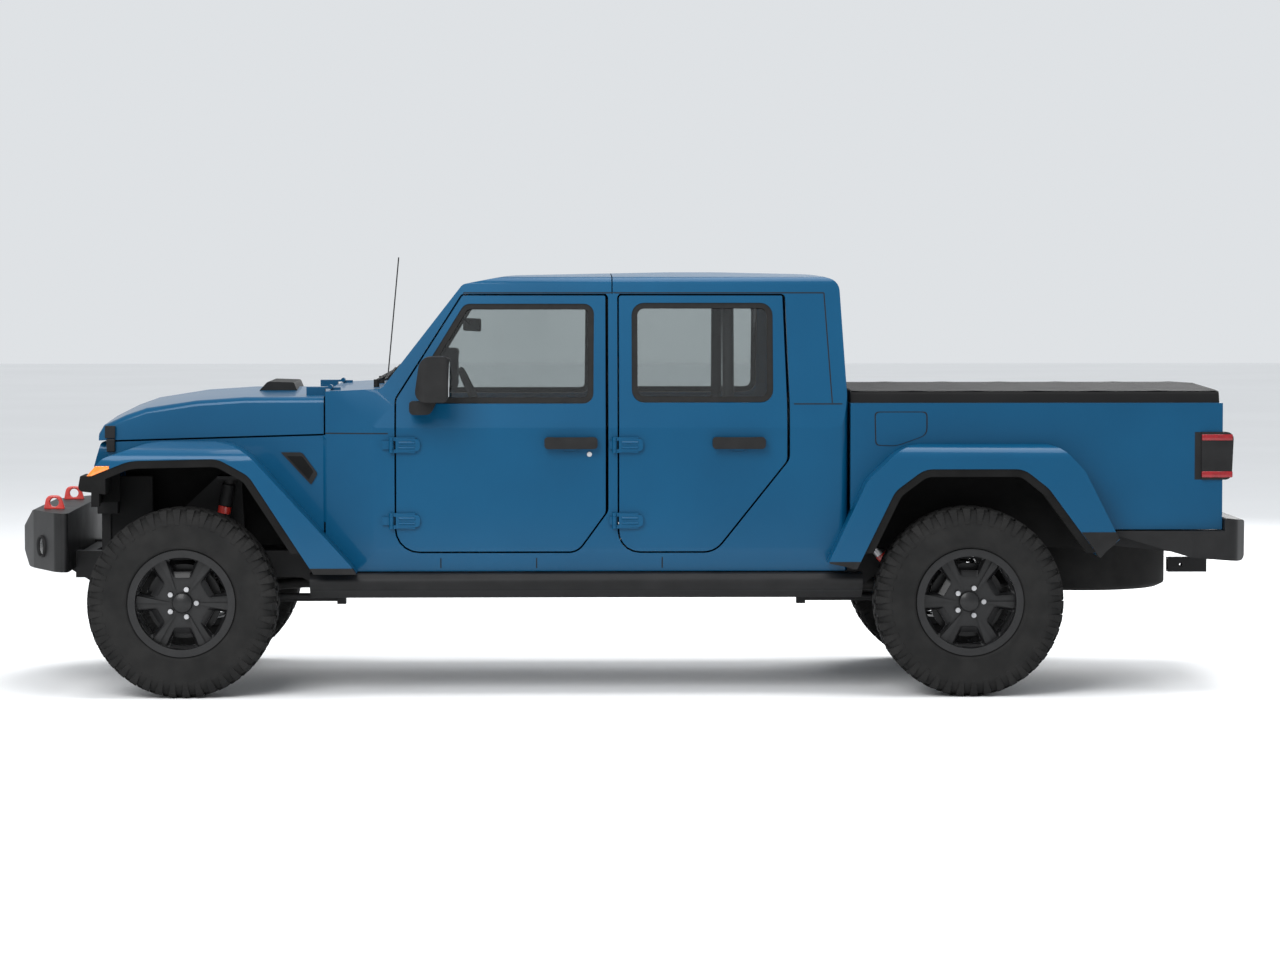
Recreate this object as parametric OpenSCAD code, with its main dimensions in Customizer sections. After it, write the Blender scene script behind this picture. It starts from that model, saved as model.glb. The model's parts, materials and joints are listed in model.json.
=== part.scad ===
// Crew-cab off-road pickup truck.
// Millimetres. The front points along -X, the left side along -Y, and Z = 0 is the ground.
// The origin lies on the ground under the middle of the bounding box.

/* [Overall] */
// Distance between the front and rear axles
wheelbase = 3488; // [3400:1:3600]
// Front axle to the foremost point of the front bumper
front_overhang = 785; // [775:1:830]
// Rear axle to the rearmost point of the rear bumper
rear_overhang = 1255; // [1245:1:1300]
// Distance between the left and right wheel planes
track = 1620; // [1610:1:1650]

/* [Wheels] */
// Outer diameter of a tyre
tyre_d = 841; // [820:1:850]
// Width of a tyre across its sidewalls
tyre_w = 270; // [255:1:280]
// Diameter of the rim flange
rim_d = 474; // [460:1:490]
// Number of spokes in a rim
spoke_count = 6; // [5:1:8]
// Diameter of a brake disc
disc_d = 330; // [300:1:345]
// Radius of the wheel spindles
spindle_r = 30; // [24:1:34]
// Distance from a wheel plane in to its kingpin
kingpin_in = 120; // [115:1:125]
// Kingpin to the tie rod's pin
steer_arm = 150; // [140:1:155]

/* [Cab] */
// Width over the door skins
cab_w = 1600; // [1580:1:1620]
// Width of the cab at the drip rail
roof_w = 1390; // [1350:1:1420]
// Bottom edge of the body sides
sill_z = 552; // [550:1:560]
// Height of the shoulder crease
belt_z = 1190; // [1170:1:1210]
// Height of the roof's crown
roof_z = 1882; // [1870:1:1900]
// Roof's crown down to the drip rail
roof_drop = 97; // [90:1:105]
// Top of the cab floor
floor_z = 625; // [620:1:632]
// Thickness of the doors and lower walls
wall_t = 70; // [60:1:76]
// Thickness of the window frames and roof
frame_t = 42; // [36:1:46]
// Front axle back to the front edge of the cowl
cowl_back = 628; // [620:1:640]
// Height of the cowl where the hood meets it
cowl_z = 1352; // [1345:1:1358]
// Front axle back to the foot of the windshield
glass_foot = 878; // [870:1:885]
// Front axle back to the top of the windshield
glass_head = 1238; // [1225:1:1250]
// Front axle back to the rear wall of the cab
cab_end = 2953; // [2945:1:2970]

/* [Doors] */
// Front axle back to the front edge of the front doors
door_front = 936; // [930:1:945]
// Front axle back to the middle of the centre pillar
pillar_mid = 1907; // [1895:1:1920]
// Front axle back to the rear edge of the rear doors
door_end = 2695; // [2685:1:2705]
// Visible width of the centre pillar
pillar_w = 40; // [38:1:46]
// Bottom edge of the doors
door_z = 633; // [628:1:645]
// Bottom edge of the side windows
window_z = 1298; // [1285:1:1310]
// Drip rail down to the top edge of the side windows
window_drop = 44; // [40:1:60]
// Gap round a door
door_gap = 8; // [6:0.5:10]
// Extra gap at a door's rear edge, for its swing
swing_gap = 5; // [4:0.5:8]
// Distance of the hinge axis outside the door skin
hinge_out = 15; // [13:1:18]
// Thickness of the window glass
glass_t = 5; // [4:0.5:6]
// Gap between a seated piece and its seat
seat_gap = 0.3; // [0.2:0.1:0.4]

/* [Front] */
// Hood width at the cowl
hood_rear_w = 1500; // [1480:1:1510]
// Hood width at the grille
hood_front_w = 1210; // [1190:1:1230]
// Thickness of the hood
hood_t = 24; // [18:1:30]
// Front axle forward to the top of the grille
grille_fore = 372; // [365:1:380]
// Number of slots in the grille
slot_count = 9; // [8:1:11]
// Diameter of the headlamps
lamp_d = 178; // [165:1:185]
// Reach of the wheel arch flares beyond the door skins
flare_out = 145; // [140:1:150]

/* [Bed] */
// Gap between cab and bed
bed_gap = 12; // [10:1:16]
// Rear axle back to the end of the bed
bed_end = 1139; // [1130:1:1150]
// Height of the bed rails
bed_rail_z = 1299; // [1290:1:1310]
// Top of the bed floor
bed_floor_z = 840; // [835:1:850]
// Width of the load space between its walls
bed_in_w = 1442; // [1430:1:1450]
// Width between the wheelhouses
wheelhouse_w = 1137; // [1130:1:1145]
// Thickness of the tailgate
tailgate_t = 58; // [50:1:64]
// Height of the tonneau cover
tonneau_h = 64; // [54:1:70]

/* [Chassis] */
// Width over the frame rails
rails_w = 860; // [840:1:866]
// Width of one rail
rail_w = 80; // [70:1:90]
// Height of one rail
rail_h = 120; // [100:1:124]
// Radius of the axle tubes
axle_r = 42; // [36:1:45]
// Radius of the differential housings
diff_r = 95; // [85:1:100]
// Radius of the roll bar tubes
bar_r = 26; // [22:1:30]
// Bottom of the rock rails
rocker_z = 430; // [420:1:440]
// Inner width of the square hitch receiver
hitch_w = 51; // [50:0.5:52]
// Radius of the hitch pin's hole
hitch_pin_r = 8; // [7.5:0.1:8.5]

/* [Hidden] */
$fn = 48;
length = front_overhang + wheelbase + rear_overhang;
front_x = front_overhang - length / 2;
rear_x = front_x + wheelbase;
axle_z = tyre_d / 2;
tyre_r = tyre_d / 2;
rim_r = rim_d / 2;
cab_half = cab_w / 2;
roof_half = roof_w / 2;
flare_half = cab_half + flare_out;
gutter_z = roof_z - roof_drop;
window_top = gutter_z - window_drop;
cowl_x = front_x + cowl_back;
cab_x = front_x + cab_end;
bed_x = cab_x + bed_gap;
bed_rear_x = rear_x + bed_end;
wide = 2200;
blue = [0.07, 0.33, 0.52];
black = [0.07, 0.07, 0.075];
grey = [0.3, 0.31, 0.32];
silver = [0.72, 0.73, 0.75];
red = [0.75, 0.1, 0.07];

// Outline helpers. An outline is a list of [across, up, corner radius].
function unit(v) = v / norm(v);
function flat(p) = [p.x, p.y];
function corner(a, p, b, r, n) =
    let(u = unit(a - p), v = unit(b - p), half = acos(u * v) / 2,
        c = p + unit(u + v) * r / sin(half),
        s = p + u * r / tan(half) - c, e = p + v * r / tan(half) - c,
        a0 = atan2(s.y, s.x), sweep = (atan2(e.y, e.x) - a0 + 540) % 360 - 180)
    [for (i = [0:n]) c + r * [cos(a0 + sweep * i / n), sin(a0 + sweep * i / n)]];
function rounded(pts, n = 5) =
    let(m = len(pts))
    [for (i = [0:m - 1]) let(p = pts[i])
        each p.z > 0
            ? corner(flat(pts[(i + m - 1) % m]), flat(p), flat(pts[(i + 1) % m]), p.z, n)
            : [flat(p)]];
function normal(a, b) = let(d = unit(flat(b) - flat(a))) [-d.y, d.x];
// Counter-clockwise outline moved inwards by walls[i] along the edge that starts at point i.
function inset(pts, walls) =
    let(m = len(pts))
    [for (i = [0:m - 1])
        let(p = pts[i], n1 = normal(pts[(i + m - 1) % m], p), n2 = normal(p, pts[(i + 1) % m]),
            t1 = walls[(i + m - 1) % m], t2 = walls[i], det = n1.x * n2.y - n1.y * n2.x)
        [p.x + (t1 * n2.y - t2 * n1.y) / det, p.y + (n1.x * t2 - n2.x * t1) / det,
            p.z > 0 ? max(p.z - max(t1, t2), 2) : 0]];
function even(pts, t) = inset(pts, [for (p = pts) t]);
function box_outline(x0, x1, z0, z1, r) = [[x0, z0, r], [x1, z0, r], [x1, z1, r], [x0, z1, r]];

// Prisms: along Y from an X-Z outline, along X from a Y-Z outline, along Z from an X-Y outline.
module side_prism(pts, y0 = -wide, y1 = wide, n = 5) {
    translate([0, y1, 0]) rotate([90, 0, 0]) linear_extrude(y1 - y0) polygon(rounded(pts, n));
}
module section_prism(pts, x0 = -2 * wide, x1 = 2 * wide, n = 5) {
    translate([x0, 0, 0]) rotate([90, 0, 90]) linear_extrude(x1 - x0) polygon(rounded(pts, n));
}
module plan_prism(pts, z0, z1, n = 5) {
    translate([0, 0, z0]) linear_extrude(z1 - z0) polygon(rounded(pts, n));
}
module block(x0, x1, y0, y1, z0, z1) {
    translate([x0, y0, z0]) cube([x1 - x0, y1 - y0, z1 - z0]);
}
module both() {
    children();
    mirror([0, 1, 0]) children();
}
// Cylinder between two points.
module rod(a, b, r) {
    d = b - a;
    translate(a)
        rotate([0, acos(d.z / norm(d)), atan2(d.y, d.x)])
            cylinder(h = norm(d), r = r);
}
module half_space(side) {
    if (side < 0) block(-2 * wide, 2 * wide, -wide, 0, -wide, 2 * wide);
    else block(-2 * wide, 2 * wide, 0, wide, -wide, 2 * wide);
}

// Cab shell: the section across it and the profile along it, shared by every body panel.
head_x = front_x + glass_head;
foot_x = front_x + glass_foot;
cowl_slope = 12;
header_z = roof_z - 54;
sill_tuck = 14;
hardtop_z = window_z - 6;
section = [[-cab_half + sill_tuck, sill_z, 0], [cab_half - sill_tuck, sill_z, 0],
    [cab_half, sill_z + 90, 200], [cab_half, belt_z, 40], [roof_half, gutter_z, 0],
    [roof_half - 16, roof_z - 22, 46], [0, roof_z, 4000], [-roof_half + 16, roof_z - 22, 46],
    [-roof_half, gutter_z, 0], [-cab_half, belt_z, 40], [-cab_half, sill_z + 90, 200]];
section_walls = [for (p = section) p.y >= gutter_z || p.x < 0 && p.y >= belt_z + 1
    || p.x > 0 && p.y >= belt_z ? frame_t : wall_t];
profile = [[cowl_x, sill_z, 0], [cab_x, sill_z, 0], [cab_x, hardtop_z, 0],
    [cab_x - 34, roof_z - 40, 60], [cab_x - 130, roof_z - 12, 300], [head_x + 1050, roof_z, 6000],
    [head_x + 190, roof_z - 18, 700], [head_x, header_z, 40], [foot_x, cowl_z + cowl_slope, 30],
    [cowl_x, cowl_z, 0]];
profile_walls = [floor_z - sill_z, wall_t, frame_t, frame_t, frame_t, frame_t, frame_t, frame_t,
    frame_t, wall_t];
flank_x = front_x + door_front - 90;
cab_plan = [[cowl_x, -hood_rear_w / 2 - 6, 0], [flank_x, -cab_half, 200],
    [cab_x, -cab_half, 40], [cab_x, cab_half, 40], [flank_x, cab_half, 200],
    [cowl_x, hood_rear_w / 2 + 6, 0]];

module cab_solid(cut = 0) {
    intersection() {
        section_prism(cut == 0 ? section : inset(section, section_walls));
        side_prism(cut == 0 ? profile : inset(profile, profile_walls));
        if (cut == 0) plan_prism(cab_plan, 0, 2 * roof_z);
    }
}
module cab_shell() {
    difference() {
        cab_solid();
        cab_solid(1);
    }
}
// Side walls alone, and the zone of the side walls that an opening is cut from.
module side_walls() {
    difference() {
        cab_solid();
        section_prism(inset(section, section_walls));
    }
}
module opening_cut(outline) {
    difference() {
        side_prism(outline);
        section_prism(inset(section, [for (t = section_walls) t + door_gap]));
    }
}
// Skin of glass, set back from the panels' outer face.
module glass_skin() {
    difference() {
        intersection() {
            section_prism(even(section, glass_back));
            side_prism(even(profile, glass_back));
        }
        intersection() {
            section_prism(even(section, glass_back + glass_t));
            side_prism(even(profile, glass_back + glass_t));
        }
    }
}

// Openings of the doors and windows, seen from the side.
glass_back = 14;
foot_z = cowl_z + cowl_slope;
seam_x = front_x + pillar_mid;
front_x0 = front_x + door_front;
front_x1 = seam_x - pillar_w / 2;
rear_x0 = seam_x + pillar_w / 2;
rear_x1 = front_x + door_end;
slant_z = cowl_z - 33;
front_opening = [[front_x0, door_z, 110], [front_x1 - 135, door_z, 80], [front_x1, door_z + 185, 50],
    [front_x1, gutter_z, 20], [head_x - 5, gutter_z, 20], [front_x0, slant_z, 60]];
rear_opening = [[rear_x0, door_z, 100], [rear_x1 - 332, door_z, 110], [rear_x1, door_z + 416, 60],
    [rear_x1, hardtop_z, 0], [rear_x1 - 18, gutter_z, 20], [rear_x0, gutter_z, 20]];
front_gaps = [door_gap, door_gap, door_gap + swing_gap, door_gap, door_gap, door_gap];
rear_gaps = [door_gap, door_gap, door_gap + swing_gap, door_gap + swing_gap, door_gap, door_gap];
front_window = [[front_x0 + 113, window_z, 30], [front_x1 - 67, window_z, 45],
    [front_x1 - 63, window_top, 45], [head_x + 8, window_top, 45], [front_x0 + 113, window_z + 122, 40]];
rear_window = box_outline(rear_x0 + 64, rear_x1 - 74, window_z + 4, window_top + 4, 55);
windshield_cut = [[-cab_half + 112, foot_z + 34, 60], [cab_half - 112, foot_z + 34, 60],
    [roof_half - 62, gutter_z - 12, 60], [-roof_half + 62, gutter_z - 12, 60]];
back_cut = box_outline(-560, 560, hardtop_z + 60, gutter_z - 55, 60);

// Hinges stand outside the skin. The leaf is fixed, the strap swings about the pin.
knuckle_r = 10;
pin_r = 6;
knuckle_h = 36;
strap_len = 85;
front_hinge_x = front_x0 - 14;
rear_hinge_x = rear_x0 - 14;
hinge_levels = [door_z + 145, belt_z - 75];
module hinge_leaf(len) {
    difference() {
        union() {
            translate([0, 0, -knuckle_h / 2]) cylinder(h = knuckle_h, r = knuckle_r);
            block(-len, 0, 2, hinge_out, -knuckle_h / 2, knuckle_h / 2);
        }
        translate([0, 0, -knuckle_h]) cylinder(h = 2 * knuckle_h, r = pin_r + seat_gap);
    }
}
module hinge_strap(reach) {
    for (s = [-1, 1])
        translate([0, 0, s * (knuckle_h / 2 + 1 + 8) - 8]) {
            cylinder(h = 16, r = knuckle_r);
            block(0, reach + strap_len, 0, 8, 0, 16);
        }
    translate([0, 0, -knuckle_h / 2 - 17]) cylinder(h = knuckle_h + 34, r = pin_r);
    block(reach + 2, reach + strap_len, 0, hinge_out, -knuckle_h / 2 - 17, knuckle_h / 2 + 17);
}
module door_hinges(x, side) {
    mirror([0, side > 0 ? 1 : 0, 0])
        for (z = hinge_levels) translate([x, -cab_half - hinge_out, z]) children();
}

// Doors.
module door_panel(side, opening, gaps, window) {
    difference() {
        intersection() {
            side_walls();
            side_prism(inset(opening, gaps));
            half_space(side);
        }
        side_prism(window);
    }
}
module front_door(side) {
    color(blue) union() {
        door_panel(side, front_opening, front_gaps, front_window);
        door_hinges(front_hinge_x, side) hinge_strap(14 + door_gap);
    }
}
module rear_door(side) {
    color(blue) union() {
        door_panel(side, rear_opening, rear_gaps, rear_window);
        door_hinges(rear_hinge_x, side) hinge_strap(14 + door_gap);
    }
}
module door_fl() { front_door(-1); }
module door_fr() { front_door(1); }
module door_rl() { rear_door(-1); }
module door_rr() { rear_door(1); }

module side_glass(side, window) {
    color(grey) intersection() {
        glass_skin();
        side_prism(even(window, seat_gap));
        half_space(side);
    }
}
module door_fl_glass() { side_glass(-1, front_window); }
module door_fr_glass() { side_glass(1, front_window); }
module door_rl_glass() { side_glass(-1, rear_window); }
module door_rr_glass() { side_glass(1, rear_window); }

// Pull handles and mirrors.
handle_len = 236;
handle_h = 52;
handle_out = 44;
handle_z = belt_z - 92;
mirror_out = 245;
module handle(x, side) {
    mirror([0, side > 0 ? 1 : 0, 0])
        difference() {
            side_prism(box_outline(x, x + handle_len, handle_z, handle_z + handle_h, 16),
                -cab_half - handle_out, -cab_half);
            side_prism(box_outline(x + 38, x + handle_len - 38, handle_z - 9, handle_z + handle_h + 9, 0),
                -cab_half - handle_out + 22, -cab_half + 1);
        }
}
module door_mirror(side) {
    x = front_x0 + 92;
    mirror([0, side > 0 ? 1 : 0, 0]) {
        intersection() {
            side_prism([[x, slant_z - 8, 45], [x + 150, slant_z - 8, 20], [x + 158, slant_z + 192, 20],
                [x + 30, slant_z + 192, 50]], -cab_half - mirror_out, -cab_half - 62);
            plan_prism([[x - 20, -cab_half - 62, 0], [x, -cab_half - mirror_out, 60],
                [x + 158, -cab_half - mirror_out, 20], [x + 158, -cab_half - 62, 20]], 0, roof_z);
        }
        difference() {
            side_prism([[x - 22, slant_z - 66, 20], [x + 70, slant_z - 66, 30], [x + 100, slant_z - 8, 0],
                [x - 22, slant_z - 8, 10]], -cab_half - 130, -cab_half + 60);
            cab_solid();
        }
    }
}
module door_fl_fittings() {
    color(black) {
        handle(front_x1 - 285, -1);
        door_mirror(-1);
    }
}
module door_fr_fittings() {
    color(black) {
        handle(front_x1 - 285, 1);
        door_mirror(1);
    }
}
module door_rl_fittings() { color(black) handle(rear_x1 - 346, -1); }
module door_rr_fittings() { color(black) handle(rear_x1 - 346, 1); }

// Cab tub: floor, firewall, cowl, sills, pillars, rear wall and gearbox tunnel.
tunnel_w = 400;
tunnel_z = floor_z + 230;
tunnel_t = 20;
tunnel_end = front_x + pillar_mid - 250;
tunnel = [[-tunnel_w / 2, 0, 0], [tunnel_w / 2, 0, 0], [tunnel_w / 2 - 20, tunnel_z, 60],
    [-tunnel_w / 2 + 20, tunnel_z, 60]];
tub_region = [[cowl_x - 1, sill_z - 1, 0], [cab_x + 1, sill_z - 1, 0], [cab_x + 1, hardtop_z, 0],
    [rear_x0 + 9, hardtop_z, 0], [rear_x0 + 9, gutter_z, 0], [front_x1 - 9, gutter_z, 0],
    [front_x1 - 9, foot_z, 0], [cowl_x - 1, foot_z, 0]];
hood_hinge_y = 560;
module cab_tub() {
    color(blue) union() {
        difference() {
            union() {
                intersection() {
                    cab_shell();
                    side_prism(tub_region);
                }
                intersection() {
                    section_prism(tunnel, cowl_x + 10, tunnel_end);
                    cab_solid();
                }
            }
            opening_cut(front_opening);
            opening_cut(rear_opening);
            section_prism(even(tunnel, tunnel_t), cowl_x - 1, tunnel_end - tunnel_t);
        }
        for (side = [-1, 1]) {
            door_hinges(front_hinge_x, side) hinge_leaf(40);
            door_hinges(rear_hinge_x, side) hinge_leaf(22);
        }
        both() hood_hinge(-hood_hinge_y) hinge_leaf(45);
    }
}
module hood_hinge(y) {
    translate([hood_axis_x, y, hood_axis_z]) mirror([1, 0, 0]) rotate([-90, 0, 0]) children();
}

// Windshield frame, fixed glass and roof.
module windshield_frame() {
    color(blue) difference() {
        intersection() {
            cab_shell();
            block(cowl_x, head_x, -wide, wide, foot_z, roof_z);
        }
        opening_cut(front_opening);
        section_prism(windshield_cut, cowl_x, head_x);
    }
}
module fixed_glass() {
    color(grey) {
        intersection() {
            glass_skin();
            section_prism(even(windshield_cut, seat_gap), cowl_x, head_x - seat_gap);
        }
        intersection() {
            glass_skin();
            section_prism(even(back_cut, seat_gap), cab_x - 200, cab_x);
        }
    }
}
roof_seam = 5;
module roof_panels() {
    color(blue) {
        difference() {
            intersection() {
                cab_shell();
                block(seam_x, cab_x + 1, -wide, wide, hardtop_z, roof_z + 1);
            }
            opening_cut(rear_opening);
            block(seam_x - 1, rear_x0 + 40, -wide, wide, hardtop_z - 1, gutter_z);
            section_prism(back_cut, cab_x - 200, cab_x + 1);
        }
        for (side = [-1, 1])
            intersection() {
                cab_shell();
                block(head_x, seam_x - roof_seam, side > 0 ? roof_seam / 2 : -wide,
                    side > 0 ? wide : -roof_seam / 2, gutter_z, roof_z + 1);
            }
    }
}

// Lofted skin through rings of equal length that follow one another along X.
module loft(rings) {
    m = len(rings[0]);
    k = len(rings);
    polyhedron(points = [for (r = rings) each r], faces = concat(
        [[for (i = [0:m - 1]) i]],
        [[for (i = [m - 1:-1:0]) (k - 1) * m + i]],
        [for (j = [0:k - 2], i = [0:m - 1])
            let(a = j * m + i, b = j * m + (i + 1) % m) each [[a + m, b + m, b], [a + m, b, a]]]));
}

// Hood: columns are distance ahead of the cowl, crown below the cowl, shoulder below the crown.
hood_gap = 8;
hood_rows = [[1022, -166, 26], [1000, -134, 22], [900, -84, 26], [806, -50, 28], [580, -14, 30],
    [363, 0, 28], [hood_gap, 0, 26]];
hood_len = hood_rows[0][0];
hood_low_front = cowl_z - 224;
hood_low_rear = cowl_z - 188;
hood_axis_x = cowl_x + 14;
hood_axis_z = cowl_z + hinge_out;
function hood_half(fore) = (hood_rear_w + (hood_front_w - hood_rear_w) * fore / hood_len) / 2;
function hood_low(fore) = hood_low_rear + (hood_low_front - hood_low_rear) * fore / hood_len;
function hood_ring(row, t, fore) =
    let(w = hood_half(row[0]) - t, top = cowl_z + row[1] - t, low = hood_low(row[0]) - 4 * t)
    [for (p = rounded([[-w, low, 0], [w, low, 0], [w - 8, top - row[2], 30], [0, top, 0],
        [-w + 8, top - row[2], 30]], 4)) [cowl_x - fore, p.x, p.y]];
module hood() {
    color(blue) union() {
        difference() {
            loft([for (row = hood_rows) hood_ring(row, 0, row[0])]);
            loft([for (row = hood_rows)
                hood_ring(row, hood_t, min(max(row[0], hood_gap + hood_t), hood_len - hood_t))]);
        }
        both() {
            hood_hinge(-hood_hinge_y) hinge_strap(14 + hood_gap);
            block(cowl_x - hood_gap - strap_len, cowl_x - hood_gap - 2, -hood_hinge_y - 35, -hood_hinge_y + 35,
                cowl_z - 36, cowl_z + 2);
        }
    }
}
// Vent on the hood and its two side latches.
latch_y = hood_half(hood_len - 50);
module hood_fittings() {
    color(black) difference() {
        union() {
            side_prism([[cowl_x - 340, cowl_z - 24, 0], [cowl_x - 150, cowl_z - 24, 0],
                [cowl_x - 170, cowl_z + 26, 10], [cowl_x - 290, cowl_z + 30, 20]], -260, 260);
            both() block(cowl_x - hood_len + 30, cowl_x - hood_len + 75, -latch_y - 20, -latch_y + 14,
                hood_low_front + 12, hood_low_front + 66);
        }
        loft([for (row = hood_rows) hood_ring(row, 0, row[0])]);
    }
}

// Grille panel with a row of slots and round lamp holes.
grille_z = hood_low_front - 6;
grille_low_z = 800;
grille_t = 70;
grille_x = front_x - grille_fore - 50;
lamp_y = 440;
lamp_z = 985;
grille_side = [[grille_x + 10, grille_low_z, 0], [grille_x + 10 + grille_t, grille_low_z, 0],
    [grille_x + 34 + grille_t, grille_z, 0], [grille_x + 34, grille_z, 20], [grille_x, 1010, 30]];
slot_pitch = 72;
slot_w = 40;
module grille_panel() {
    color(blue) difference() {
        intersection() {
            side_prism(grille_side);
            section_prism([[-520, grille_low_z, 60], [520, grille_low_z, 60], [572, grille_z, 40],
                [-572, grille_z, 40]]);
        }
        for (i = [0:slot_count - 1])
            section_prism(box_outline((i - (slot_count - 1) / 2) * slot_pitch - slot_w / 2,
                (i - (slot_count - 1) / 2) * slot_pitch + slot_w / 2, grille_low_z + 50, grille_z - 36, 18));
        both() translate([grille_x - 100, -lamp_y, lamp_z]) rotate([0, 90, 0]) cylinder(h = 300, r = lamp_d / 2);
    }
}
// Headlamps in the grille, signal lamps in the front tips of the flares.
module signal_zone() {
    block(front_x - 450, front_x - 312, -flare_half - 1, -flare_half + 220, 960, 1031);
}
module front_lamps() {
    color(silver) both() translate([grille_x - 4, -lamp_y, lamp_z]) rotate([0, 90, 0])
        cylinder(h = 70, r = lamp_d / 2 - seat_gap);
    color([0.9, 0.4, 0.05]) both() intersection() {
        flare(front_flare, front_arch, flare_root);
        signal_zone();
    }
}

// Wheel arches, as offsets from an axle.
function shifted(pts, x) = [for (p = pts) [p.x + x, p.y, p.z]];
front_arch = shifted([[-395, 540, 0], [590, 540, 0], [300, 985, 110], [165, 1060, 120], [-225, 1052, 220],
    [-391, 985, 0]], front_x);
front_flare = shifted([[-391, 985, 0], [575, sill_z, 0], [770, sill_z, 0], [745, 590, 0], [250, 1130, 260],
    [-150, 1128, 300], [-345, 1062, 80], [-413, 985, 0]], front_x);
rear_arch = shifted([[-508, 560, 0], [572, 620, 0], [346, 925, 100], [236, 1012, 110], [-205, 1012, 110],
    [-335, 915, 110]], rear_x);
rear_flare = shifted([[0, 700, 0], [572, 620, 0], [660, 700, 0], [505, 1005, 120], [395, 1118, 150],
    [-294, 1118, 190], [-457, 964, 140], [-630, 596, 0], [-508, 570, 0]], rear_x);
fender_t = 25;
flare_root = 640;
module flare(outline, arch, root) {
    difference() {
        intersection() {
            side_prism(outline, -flare_half, -root);
            section_prism([[-flare_half, 0, 0], [-root, 0, 0], [-root, 1160, 0], [-flare_half, 1096, 60]]);
        }
        side_prism(arch);
        cab_solid();
    }
}
module front_fenders() {
    edge_x = cowl_x - hood_gap;
    color(blue) both() union() {
        difference() {
            flare(front_flare, front_arch, flare_root);
            signal_zone();
        }
        difference() {
            intersection() {
                plan_prism([[edge_x, -hood_half(hood_gap), 0], [edge_x, -hood_half(hood_gap) + fender_t, 0],
                    [cowl_x - hood_len + 40, -hood_half(hood_len - 40) + fender_t, 0],
                    [cowl_x - hood_len + 40, -hood_half(hood_len - 40), 0]], 0, roof_z);
                side_prism([[edge_x, 560, 0], [edge_x, hood_low_rear - hood_gap, 0],
                    [cowl_x - hood_len, hood_low_front - hood_gap, 0], [cowl_x - hood_len, 560, 0]]);
            }
            side_prism(front_arch);
        }
    }
}
liner_t = 12;
lip_t = 34;
lip_w = 70;
liner_low = 640;
module liner(arch, walls, inner) {
    outer = flare_half - 4;
    difference() {
        side_prism(arch, -outer, -inner);
        difference() {
            side_prism(inset(arch, walls), -outer - 1, -inner - liner_t);
            difference() {
                side_prism(arch, -outer, -outer + lip_w);
                side_prism(inset(arch, [for (t = walls) t > 0 ? lip_t : t]));
            }
        }
        block(grille_x - 10, grille_x + 120, -screen_y, screen_y, grille_low_z - 10, roof_z);
        block(-2 * wide, front_x - 300, -wide, wide, 0, screen_low);
        block(-2 * wide, 2 * wide, -wide, wide, 0, liner_low);
        cab_solid();
    }
}
bay_gap = 24;
screen_y = 575;
screen_low = 850;
// Screen beside the grille and the black nose that carries each signal lamp.
module lamp_nose() {
    block(front_x - 394, front_x - 302, -screen_y - liner_t, -screen_y, screen_low, 980);
    side_prism(shifted([[-452, 920, 20], [-330, 905, 0], [-330, 985, 0], [-440, 985, 0]], front_x),
        -flare_half + 4, -flare_half + 224);
}
module arch_liners() {
    color(black) both() {
        union() {
            liner(front_arch, [-120, liner_t, liner_t, liner_t, liner_t, liner_t], rail_in - bay_gap);
            difference() {
                lamp_nose();
                flare(front_flare, front_arch, flare_root);
            }
        }
        liner(rear_arch, [-120, liner_t, liner_t, liner_t, liner_t, liner_t], wheelhouse_w / 2 + house_t);
    }
}

// Load bed.
bed_half = cab_half - 5;
bed_in = bed_in_w / 2;
bed_low_z = 735;
bed_floor_t = 40;
lamp_low = 957;
lamp_high = 1170;
tail_fore = 125;
gate_x = bed_rear_x - tailgate_t;
gate_axis_x = bed_rear_x - 12;
gate_axis_z = bed_floor_z - 6;
gate_pin_r = 10;
house_t = 12;
module bed_box() {
    color(blue) difference() {
        union() {
            both() {
                side_prism([[bed_x, 620, 0], [rear_x, 620, 0], [rear_x, bed_low_z, 0], [bed_rear_x, bed_low_z, 0],
                    [bed_rear_x, bed_rail_z, 0], [bed_x, bed_rail_z, 0]], -bed_half, -bed_in);
                flare(rear_flare, rear_arch, bed_in + 10);
                intersection() {
                    side_prism(even(rear_arch, -house_t), -bed_in, -wheelhouse_w / 2);
                    block(bed_x, gate_x, -wide, wide, bed_floor_z - bed_floor_t, bed_rail_z);
                }
            }
            block(bed_x, bed_x + 50, -bed_in, bed_in, bed_floor_z - bed_floor_t, bed_rail_z);
            block(bed_x, gate_x - 8, -bed_in, bed_in, bed_floor_z - bed_floor_t, bed_floor_z);
        }
        both() {
            side_prism(rear_arch, -bed_half - 1, -wheelhouse_w / 2 - house_t);
            block(bed_rear_x - tail_fore, bed_rear_x + 1, -wide, -bed_in - 14, lamp_low, lamp_high);
            rod([gate_axis_x, -bed_in - 12, gate_axis_z], [gate_axis_x, -bed_in + 1, gate_axis_z],
                gate_pin_r + seat_gap);
        }
    }
}
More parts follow.
